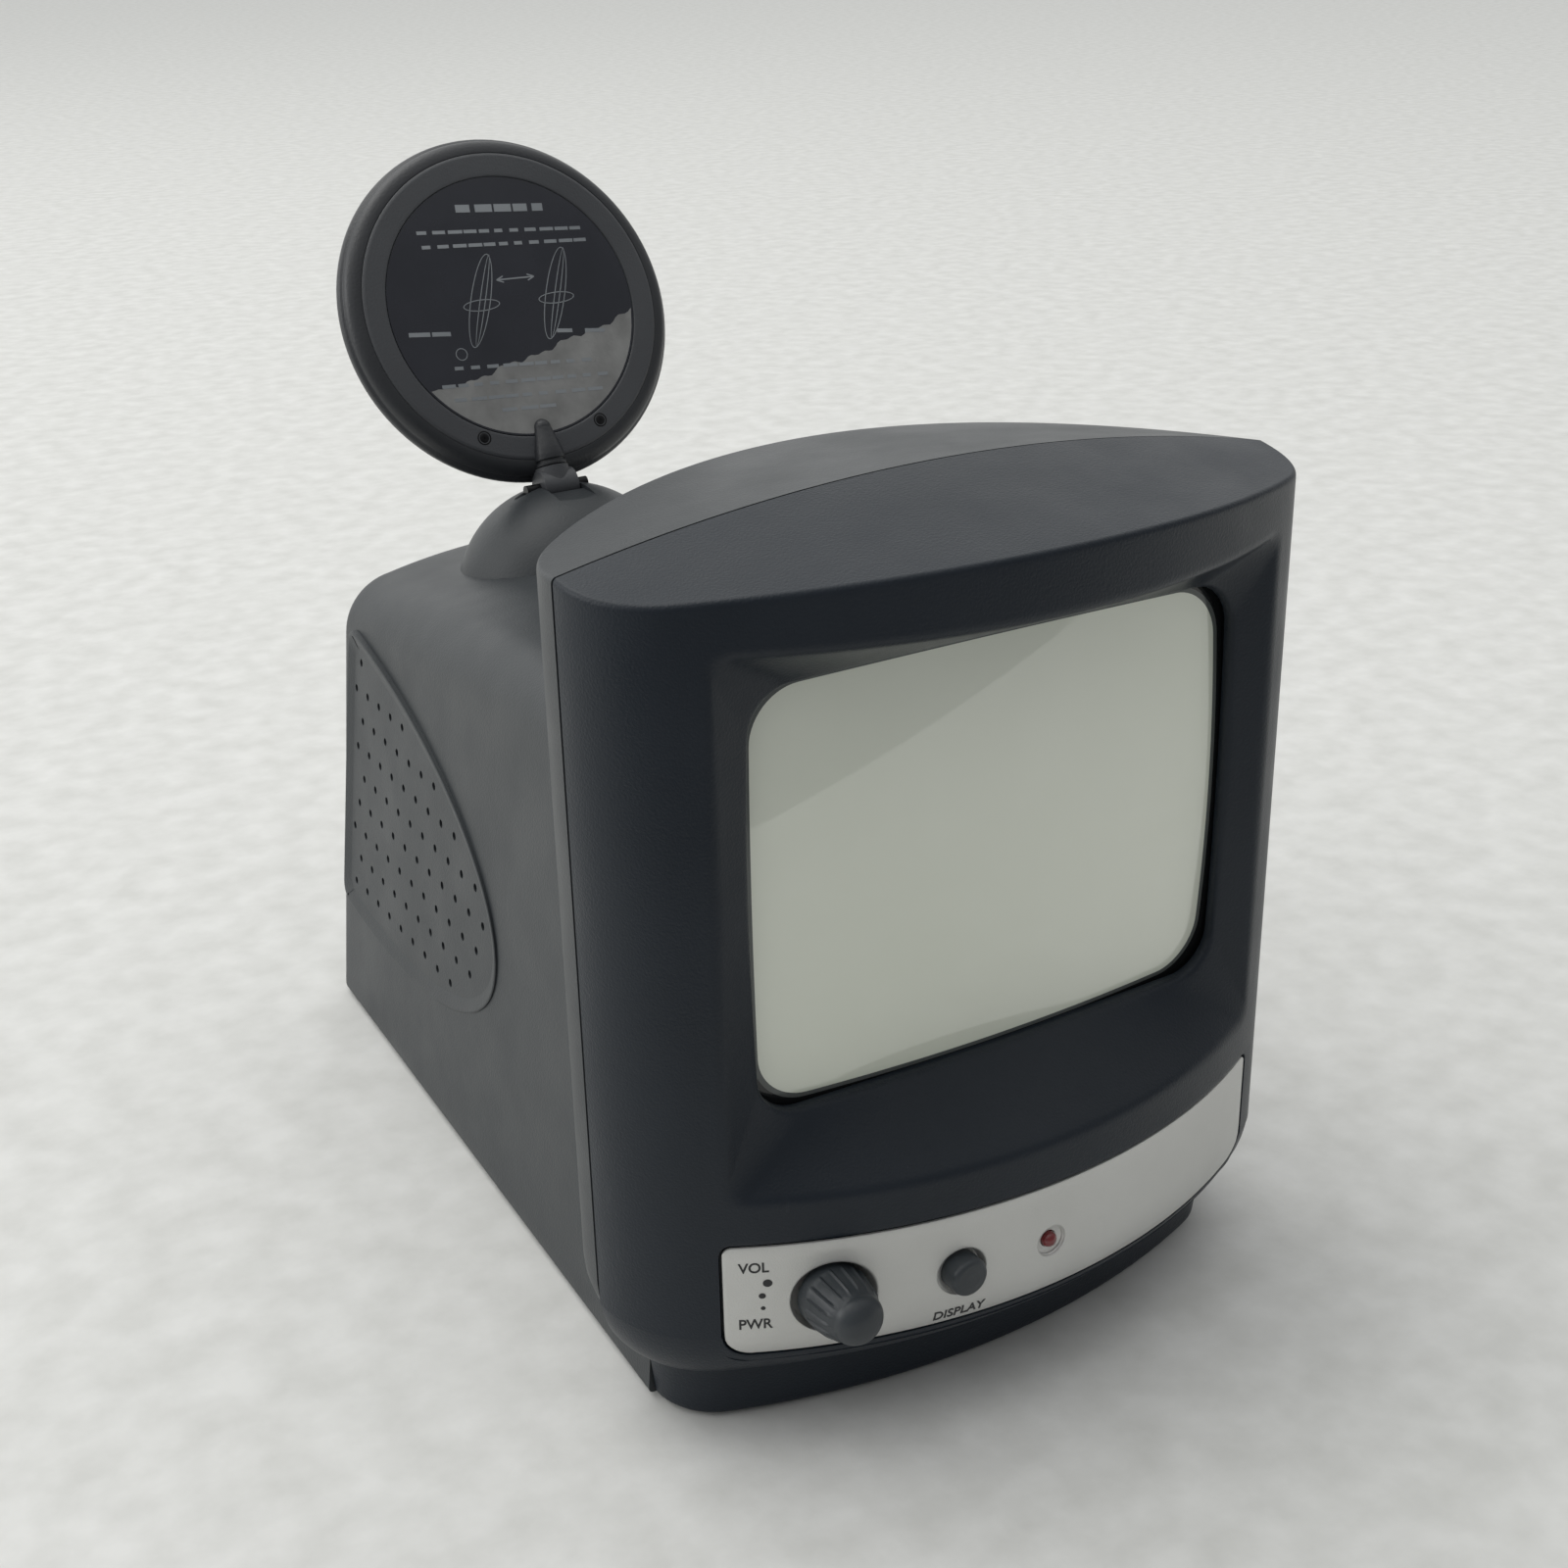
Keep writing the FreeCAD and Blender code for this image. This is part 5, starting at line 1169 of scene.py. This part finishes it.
def makeButton():
    low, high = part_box("display_button")
    spot = middleOf("display_button")
    base = local(high).y
    long = base - local(low).y
    radius = controls["buttonRound"]
    profile = [(0.0, 0.0), (radius, 0.0), (radius, long - 1.7)]
    for a in range(15, 91, 15):
        turn = math.radians(a)
        profile.append((radius - 1.3 * (1 - math.cos(turn)), long - 1.7 + 1.35 * math.sin(turn)))
    profile += [(radius * 0.4, long - 0.1), (0.0, long)]
    button = turnedPiece("displayButton", profile, placeAlong((spot.x, base, spot.z), (0, -1, 0)), 72, 0.15)
    return finishPiece(button, "button", materials["knob"], ["display_button"])


def makeLamp():
    low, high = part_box("power_led")
    spot = middleOf("power_led")
    base = local(high).y
    long = base - local(low).y
    radius = controls["lampRound"]
    profile = [(0.0, 0.0), (2.4, 0.0), (2.4, 1.0), (radius, 1.1)]
    profile += [(radius * math.cos(math.radians(a)), long - radius * (1 - math.sin(math.radians(a))))
                for a in range(0, 91, 10)]
    lamp = turnedPiece("powerLamp", profile, placeAlong((spot.x, base, spot.z), (0, -1, 0)), 48, 0.0)
    return finishPiece(lamp, "chassis", materials["redLamp"], ["power_led"])


legend = {
    "high": 2.35,
    "proud": 0.05,
    # word, x and z of its lower left corner, width
    "words": (("VOL", -63.9, 43.7, 5.3), ("PWR", -64.2, 30.6, 6.0), ("DISPLAY", -26.9, 25.2, 11.4)),
    # x, z and radius of the dots between the two ends of the knob's turn
    "dots": ((-58.9, 41.1, 0.85), (-59.9, 38.2, 0.62), (-59.8, 35.3, 0.42)),
    "dotSides": 24,
}


def legendMesh(name, text, high):
    curve = bpy.data.curves.new(name, "FONT")
    curve.body = text
    curve.size = high * 1.36
    curve.extrude = 0.02
    curve.offset = high * 0.022
    curve.resolution_u = 6
    holder = bpy.data.objects.new(name, curve)
    bpy.context.scene.collection.objects.link(holder)
    graph = bpy.context.evaluated_depsgraph_get()
    mesh = bpy.data.meshes.new_from_object(holder.evaluated_get(graph))
    bpy.data.objects.remove(holder)
    points = [v.co.copy() for v in mesh.vertices]
    faces = [list(f.vertices) for f in mesh.polygons]
    return points, faces


def onPanel(x, z, way):
    # point of a legend in front of the panel's skin, or behind it with way -1
    return world(x, skinAt(x, z) + 0.05 - legend["proud"] * way, z)


def makeLegends():
    pieces = []
    for text, x, z, wide in legend["words"]:
        points, faces = legendMesh("legend", text, legend["high"])
        reach = max(p.x for p in points)
        moved = [onPanel(x + p.x * wide / reach, z + p.y, 1 if p.z > 0 else -1) for p in points]
        pieces.append(meshObject("legend", moved, faces))
    sides = legend["dotSides"]
    for x, z, radius in legend["dots"]:
        turns = [math.pi * k / 12 for k in range(sides)]
        ring = [(x + radius * math.cos(turn), z + radius * math.sin(turn)) for turn in turns]
        spots = [onPanel(px, pz, way) for way in (1, -1) for px, pz in ring]
        faces = [list(range(sides))]
        for k in range(sides):
            after = (k + 1) % sides
            faces.append([k, after, sides + after, sides + k])
        pieces.append(meshObject("dot", spots, faces))
    legends = joined(pieces)
    legends.name = "legends"
    return finishPiece(legends, "chassis", materials["ink"])


makePanel()
makeKnob()
makeButton()
makeLamp()
makeLegends()
print("controls made")

# Picture tube: the dark mask inside the face, which is the tube's black rim and also painted shade of the gap
# to the bezel, and the picture area in front of it.

tubeFace = {
    "edgeY": 16.9,
    "bulge": 4.0,
    "halfWide": 60.0,
    "halfHigh": 47.5,
    "maskRound": 14.0,
    "maskBarrel": 0.4,
    "maskInset": 0.5,
    "rings": 14,
}


def faceLoop(halfWide, halfHigh, radius, barrel):
    middle = (window["low"] + window["high"]) / 2
    return roundedLoop(halfWide, middle - halfHigh, middle + halfHigh, radius, barrel)


def bulgeAt(x, z):
    # y of the curved face, full at the middle and nothing at the corners
    middle = (window["low"] + window["high"]) / 2
    reach = math.hypot(tubeFace["halfWide"], tubeFace["halfHigh"])
    radius = (reach ** 2 + tubeFace["bulge"] ** 2) / (2 * tubeFace["bulge"])
    away = min(reach, math.hypot(x, z - middle))
    return -tubeFace["edgeY"] - tubeFace["bulge"] + radius - math.sqrt(radius ** 2 - away ** 2)


def facePatch(name, outer, inner, lift, rings):
    # patch of the curved face between two loops; with no inner loop it closes at the middle
    middle = (window["low"] + window["high"]) / 2
    rows = []
    for k in range(rings + 1):
        row = []
        for j, (x, z) in enumerate(outer):
            to = inner[j] if inner else (0.0, middle)
            px, pz = mix((x, z), to, k / rings)
            row.append((px, bulgeAt(px, pz) - lift, pz))
        rows.append(row)
    sheet = Sheet()
    sheet.patch(rows, closed=True)
    return smoothShade(sheet.build(name, toward=(0, -1, 0)), 40)


def makeFace():
    picture = faceLoop(screen["pictureHalfWide"], screen["pictureHalfHigh"], screen["pictureRound"],
                       screen["barrel"])
    border = faceLoop(screen["pictureHalfWide"] + 1.0, screen["pictureHalfHigh"] + 0.9,
                      screen["pictureRound"] + 0.6, screen["barrel"])
    inset = tubeFace["maskInset"]
    edge = faceLoop(tubeFace["halfWide"] - inset, tubeFace["halfHigh"] - inset, tubeFace["maskRound"],
                    tubeFace["maskBarrel"])
    glow = facePatch("picture", picture, None, 0.02, tubeFace["rings"])
    finishPiece(glow, "chassis", materials["screenGlass"])
    strip = facePatch("glassEdge", border, picture, 0.02, 2)
    finishPiece(strip, "chassis", materials["glassEdge"])
    # the dark band is partly painted shade of the gap between the tube and the bezel
    mask = facePatch("mask", edge, border, 0.02, 4)
    finishPiece(mask, "chassis", materials["mask"])


makeFace()
print("picture tube face made")

makeGrille(-1, "leftGrille", "left_grille")
makeGrille(1, "rightGrille", "right_grille")
print("grilles made")

# Antenna: disc face, rim and back, label with a plain picture on it, screws, stem.

antenna = {
    "lean": 24.0,
    "up": 47.9,  # from the hinge to the middle of the disc
    "discRound": 45.3,
    "labelRound": 34.0,
    "band": 40.3,  # where the front ring meets the rim
    "screwRing": 36.6,
    "screwTurn": 27.0,
    # how far the sheet of painted reflection stands off the label
    "paintedReflection": 0.12,
}
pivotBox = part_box("hinge_pin")
pivotAt = local((pivotBox[0] + pivotBox[1]) / 2)
leanAngle = math.radians(antenna["lean"])
stemUp = Vector((0, math.sin(leanAngle), math.cos(leanAngle)))
discFront = Vector((0, -math.cos(leanAngle), math.sin(leanAngle)))
discMiddle = Vector((0, pivotAt.y, pivotAt.z)) + stemUp * antenna["up"]
discTurn = Matrix((Vector((1, 0, 0)), stemUp, discFront)).transposed().to_4x4()
discPlace = Matrix.Translation(discMiddle) @ discTurn


def discPoint(u, v, out):
    return tuple(discPlace @ Vector((u, v, out)))


def makeDisc():
    r = antenna["discRound"]
    band = antenna["band"]
    face = turnedPiece("discFace", [(0.0, 0.0), (34.1, 0.0), (34.3, 0.55), (35.0, 0.6), (39.6, 0.6),
                                    (band, 0.3), (40.5, -1.6), (0.0, -1.6)], discPlace, 128, 0.25)
    finishPiece(face, "antenna", materials["antenna"], ["antenna_face"])
    slope = [(band + 4.0 * math.sin(math.radians(a)), 0.25 - 2.9 * (1 - math.cos(math.radians(a))))
             for a in range(0, 91, 10)]
    rim = [(band, -2.5)] + slope + [(r - 0.25, -3.3), (r, -3.9), (r, -5.2), (r - 0.6, -6.0)]
    rim += [(r * math.cos(math.radians(a)) - 1.3, -6.3 - 4.3 * math.sin(math.radians(a)))
            for a in range(8, 91, 6)]
    rim[-1] = (0.0, rim[-1][1])
    rim += [(0.0, -9.6), (r - 8.0, -6.2), (r - 3.0, -4.4), (band, -2.5)]
    back = turnedPiece("discRim", rim, discPlace, 128, 0.3)
    finishPiece(back, "antenna", materials["rim"], ["antenna_back"])


# The label shows a plain drawing of two tilted discs, and bars in place of lines of print.
# All places are (across, up) from the middle of the disc.
labelArt = {
    "low": 0.33,
    "high": 0.42,
    "line": 0.22,
    "discs": ((-8.6, 2.4), (12.6, 2.0)),
    "discTurn": -22,
    "knob": (-17.2, -10.6),
    "arrow": ((-2.4, 7.2), (7.2, 7.0), 0.35),
    "arrowTips": ((-1, (-2.9, 7.2)), (1, (7.7, 7.0))),
    # start, end, height of the bars, number of bars
    "bars": (((-9.5, 26.6), (17.0, 24.6), 2.0, 5), ((-21.5, 21.4), (25.2, 18.2), 0.9, 11),
             ((-21.0, 17.6), (25.6, 15.0), 0.9, 11), ((-30.0, -4.0), (-17.6, -5.2), 1.1, 2),
             ((10.5, -7.8), (26.5, -9.6), 1.0, 2), ((-20.0, -14.0), (20.0, -16.6), 0.9, 9),
             ((-24.5, -18.2), (23.5, -20.8), 0.9, 11), ((-22.0, -22.0), (20.0, -24.4), 0.9, 9),
             ((-9.8, -26.2), (6.0, -27.0), 0.9, 3)),
}


def barOn(sheet, a, b, wide):
    # flat raised line on the label from a to b
    low, high = labelArt["low"], labelArt["high"]
    du, dv = b[0] - a[0], b[1] - a[1]
    span = math.hypot(du, dv)
    nu, nv = -dv / span * wide / 2, du / span * wide / 2
    corners = [(a[0] + nu, a[1] + nv), (b[0] + nu, b[1] + nv), (b[0] - nu, b[1] - nv),
               (a[0] - nu, a[1] - nv)]
    ring = corners + corners[:1]
    sheet.patch([[discPoint(u, v, h) for u, v in ring] for h in (low, high)])
    sheet.patch([[discPoint(*corners[0], high), discPoint(*corners[1], high)],
                 [discPoint(*corners[3], high), discPoint(*corners[2], high)]])


def ringOn(sheet, middle, halfU, halfV, turn=0.0):
    # raised outline of an ellipse on the label
    low, high, wide = labelArt["low"], labelArt["high"], labelArt["line"]
    rows = []
    for grow, height in ((0.5, low), (0.5, high), (-0.5, high), (-0.5, low)):
        row = []
        for k in range(48):
            angle = 2 * math.pi * k / 48
            u = (halfU + grow * wide) * math.cos(angle)
            v = (halfV + grow * wide) * math.sin(angle)
            row.append(discPoint(middle[0] + u * math.cos(turn) - v * math.sin(turn),
                                 middle[1] + u * math.sin(turn) + v * math.cos(turn), height))
        rows.append(row)
    sheet.patch(rows, closed=True)


def makePrint():
    sheet = Sheet()
    turn = math.radians(labelArt["discTurn"])
    # each disc is seen edge on, with a turning ring round its stem
    for u, v in labelArt["discs"]:
        ringOn(sheet, (u, v), 2.6, 12.6, turn)
        ringOn(sheet, (u + 0.6, v), 0.7, 12.4, turn)
        ringOn(sheet, (u, v - 1.2), 5.0, 1.4)
    ringOn(sheet, labelArt["knob"], 1.5, 1.5)
    barOn(sheet, *labelArt["arrow"])
    for side, tip in labelArt["arrowTips"]:
        for lift in (-1, 1):
            barOn(sheet, tip, (tip[0] - side * 1.9, tip[1] + lift * 0.8), 0.3)
    for a, b, wide, words in labelArt["bars"]:
        for k in range(words):
            start = k / words
            long = (0.72 + 0.2 * math.sin(5.3 * k + a[0])) / words
            barOn(sheet, mix(a, b, start), mix(a, b, min(1.0, start + long)), wide)
    marks = sheet.build("labelPrint", weld=0.002)
    finishPiece(marks, "antenna", materials["print"])


def makePaintedReflection():
    # a pale sheet with a ragged upper edge over the lower part of the label: a painted reflection of a bright
    # thing on the glossy label
    edge = 60
    reach = antenna["labelRound"] - 0.5
    upper = []
    lower = []
    for k in range(edge + 1):
        share = k / edge
        u = lerp(-27.6, 33.2, share)
        v = lerp(-19.6, -5.4, share ** 1.15) + 0.7 * math.sin(31 * share) * math.sin(11 * share + 1)
        v += 0.35 * math.sin(83 * share)
        limit = math.sqrt(max(0.0, reach ** 2 - u ** 2))
        upper.append((u, max(v, -limit + 0.05)))
        lower.append((u, -limit))
    rows = [[discPoint(*mix(a, b, k / 6), 0.36 + antenna["paintedReflection"] * 0.2) for a, b in zip(upper, lower)]
            for k in range(7)]
    paintedReflection = Sheet()
    paintedReflection.patch(rows)
    reflectionSheet = paintedReflection.build("labelPaintedReflection", toward=tuple(discFront))
    thicken(reflectionSheet, 0.03)
    finishPiece(reflectionSheet, "antenna", materials["paintedReflection"])


def makeLabel():
    r = antenna["labelRound"]
    label = turnedPiece("label", [(0.0, 0.1), (r, 0.1), (r, 0.35), (0.0, 0.35)], discPlace, 128, 0.08)
    finishPiece(label, "antenna", materials["label"], ["antenna_label"])
    makePrint()
    makePaintedReflection()


def makeAntennaScrews():
    crossHigh = 0.16
    screws = []
    for side in (-1, 1):
        turn = math.radians(-90 + side * antenna["screwTurn"])
        u, v = antenna["screwRing"] * math.cos(turn), antenna["screwRing"] * math.sin(turn)
        place = discPlace @ Matrix.Translation(Vector((u, v, 0.62)))
        profile = [(0.0, -1.2), (1.9, -1.2), (1.9, 0.0), (1.55, 0.08), (1.45, -0.1)]
        profile += [(1.35, -0.05), (0.9, 0.1), (0.3, 0.14), (0.0, 0.14)]
        screws.append(turnedPiece("antennaScrew", profile, place, 40, 0.1))
        cross = Sheet()
        for du, dv in ((0.95, 0.22), (0.22, 0.95)):
            ring = [(-du, -dv), (du, -dv), (du, dv), (-du, dv)]
            a, b, c, d = [tuple(place @ Vector((*spot, crossHigh))) for spot in ring]
            cross.patch([[a, b], [d, c]])
        screws.append(cross.build("cross"))
    whole = joined(screws)
    whole.name = "antennaScrews"
    return finishPiece(whole, "antenna", materials["darkScrew"], ["antenna_screws"])


def makeStem():
    # a short root in the knuckle, a groove, then a taper that ends in a dome
    radius = 4.15
    domeAt = 15.6
    place = placeAlong((0, pivotAt.y, pivotAt.z), stemUp)
    profile = [(0.0, 2.6), (2.0, 2.6), (2.0, 5.5), (4.1, 5.5), (radius, 6.3), (3.6, 6.45), (3.6, 6.95),
               (radius, 7.1)]
    profile += [(radius - 2.3 * smooth((h - 7.5) / 10.5) * 0.9, h) for h in (8.5, 10, 11.5, 13, 14.5, domeAt)]
    tip = profile[-1][0]
    profile += [(tip * math.cos(math.radians(a)), domeAt + 2.4 * math.sin(math.radians(a)))
                for a in range(12, 91, 13)]
    profile.append((0.0, 18.0))
    stem = turnedPiece("antennaStem", profile, place, 64, 0.12)
    return finishPiece(stem, "antenna", materials["rim"], ["antenna_stem"])


makeDisc()
makeLabel()
makeAntennaScrews()
makeStem()
print("antenna made")

# Camera, floor and light.

view = {
    "place": (-230.155, -323.780, 293.120),
    "yaw": 30.905,
    "pitch": 23.255,
    "roll": -1.289,
    "lens": 49.187,
}


def makeCamera():
    yaw, pitch, roll = (math.radians(view[k]) for k in ("yaw", "pitch", "roll"))
    ahead = Vector((math.sin(yaw) * math.cos(pitch), math.cos(yaw) * math.cos(pitch), -math.sin(pitch)))
    right = Vector((math.cos(yaw), -math.sin(yaw), 0))
    up = right.cross(ahead)
    across = right * math.cos(roll) + up * math.sin(roll)
    upward = up * math.cos(roll) - right * math.sin(roll)
    data = bpy.data.cameras.new("camera")
    data.lens = view["lens"]
    data.sensor_width = 36
    data.clip_start = 0.01
    data.clip_end = 50
    camera = bpy.data.objects.new("camera", data)
    bpy.context.scene.collection.objects.link(camera)
    turn = Matrix((across, upward, -ahead)).transposed().to_4x4()
    camera.matrix_world = Matrix.Translation(world(*view["place"])) @ turn
    bpy.context.scene.camera = camera


backdrop = {
    # the sheet ends in front of the set, beyond the lower edge of the view
    "corners": ((-3000, 1180), (6000, -3240), (9000, 9000), (-9000, 9000), (-9000, 1180)),
    "finish": dict(dark=(0.66, 0.66, 0.64), light=(0.76, 0.76, 0.745), rough=0.8, grain=0.25,
                   cloudScale=80.0, grainScale=420.0, specular=0.2, scuff=0.1, scuffScale=60.0,
                   scuffColour=(0.5, 0.49, 0.46)),
}


def makeFloor():
    corners = backdrop["corners"]
    floor = meshObject("floor", [world(x, y, 0) for x, y in corners], [list(range(len(corners)))])
    floor.data.materials.append(finish("floorPaint", backdrop["finish"]))


studio = {
    "brightWay": (-0.15, 0.62, 0.77),
    "dim": (0.25, 0.255, 0.26),
    "bright": (0.97, 0.98, 0.97),
    "strength": 1.08,
    # name, place, aim, size, watts, tint
    "lamps": (("ceiling", (-0.9, 1.3, 3.2), (0, 0.1, 0.1), (2.8, 2.4), 36, (1.0, 0.99, 0.96)),
              ("side", (-2.4, 0.9, 1.1), (0, 0, 0.1), (1.6, 1.2), 12, (1.0, 1.0, 0.99))),
}


def areaLight(name, place, aim, size, power, tint):
    data = bpy.data.lights.new(name, "AREA")
    data.shape = "RECTANGLE"
    data.size, data.size_y = size
    data.energy = power
    data.color = tint
    lamp = bpy.data.objects.new(name, data)
    bpy.context.scene.collection.objects.link(lamp)
    lamp.location = place
    lamp.rotation_euler = (Vector(aim) - Vector(place)).to_track_quat("-Z", "Y").to_euler()


def makeLight():
    # pale sky that is brightest overhead and behind the set, and dim low down in front of it
    sky = bpy.data.worlds.new("studio")
    bpy.context.scene.world = sky
    sky.use_nodes = True
    tree = sky.node_tree
    back = tree.nodes["Background"]
    spot = nodeOf(tree, "TexCoord")
    towards = nodeOf(tree, "VectorMath")
    towards.operation = "DOT_PRODUCT"
    towards.inputs[1].default_value = studio["brightWay"]
    tree.links.new(spot.outputs["Generated"], towards.inputs[0])
    tint = gradeBetween(tree, towards.outputs["Value"], 0.0, 0.8, studio["dim"], studio["bright"])
    tree.links.new(tint, back.inputs["Color"])
    back.inputs["Strength"].default_value = studio["strength"]
    for lamp in studio["lamps"]:
        areaLight(*lamp)


makeCamera()
makeFloor()
makeLight()
bpy.context.scene.view_settings.view_transform = "Standard"
print("stage made")

# Nodes kept from the frame get their finishes.

keptFinish = {
    "rubber": ("anode_cap", "rubber_feet"),
    "capacitor": ("anode_lead", "filter_capacitors"),
    "blackPart": ("antenna_coax", "board_chips", "channel_switch", "display_switch", "led_holder",
                  "output_transistor", "switch_plunger", "trimmers", "power_jack", "channel_slider",
                  "brightness_knob", "contrast_knob", "hold_knob"),
    "steel": ("board_screws", "casing_screws", "crt_band", "crt_screws", "electron_gun", "receiver_can",
              "speaker_frame", "volume_shaft", "yoke_clamp"),
    "bakelite": ("centring_rings", "crt_base", "neck_socket"),
    "ferrite": ("flyback_transformer", "speaker_magnet", "yoke_core"),
    "board": ("front_board", "main_board", "neck_board", "trimmer_board"),
    "aluminium": ("heat_sink", "volume_pot"),
    "paper": ("speaker_cone",),
    "copper": ("yoke_coils",),
    "brass": ("antenna_element", "video_jack"),
    "darkScrew": ("hinge_pin",),
    "whiteCoat": ("crt_phosphor",),
    "screenGlass": ("crt_bulb",),
    "casing": ("antenna_dome",),
    "antenna": ("antenna_knuckle",),
}
for finishName, nodeNames in keptFinish.items():
    for nodeName in nodeNames:
        held = frame["nodes"][nodeName]
        held.data.materials.clear()
        held.data.materials.append(materials[finishName])
print("kept nodes finished")
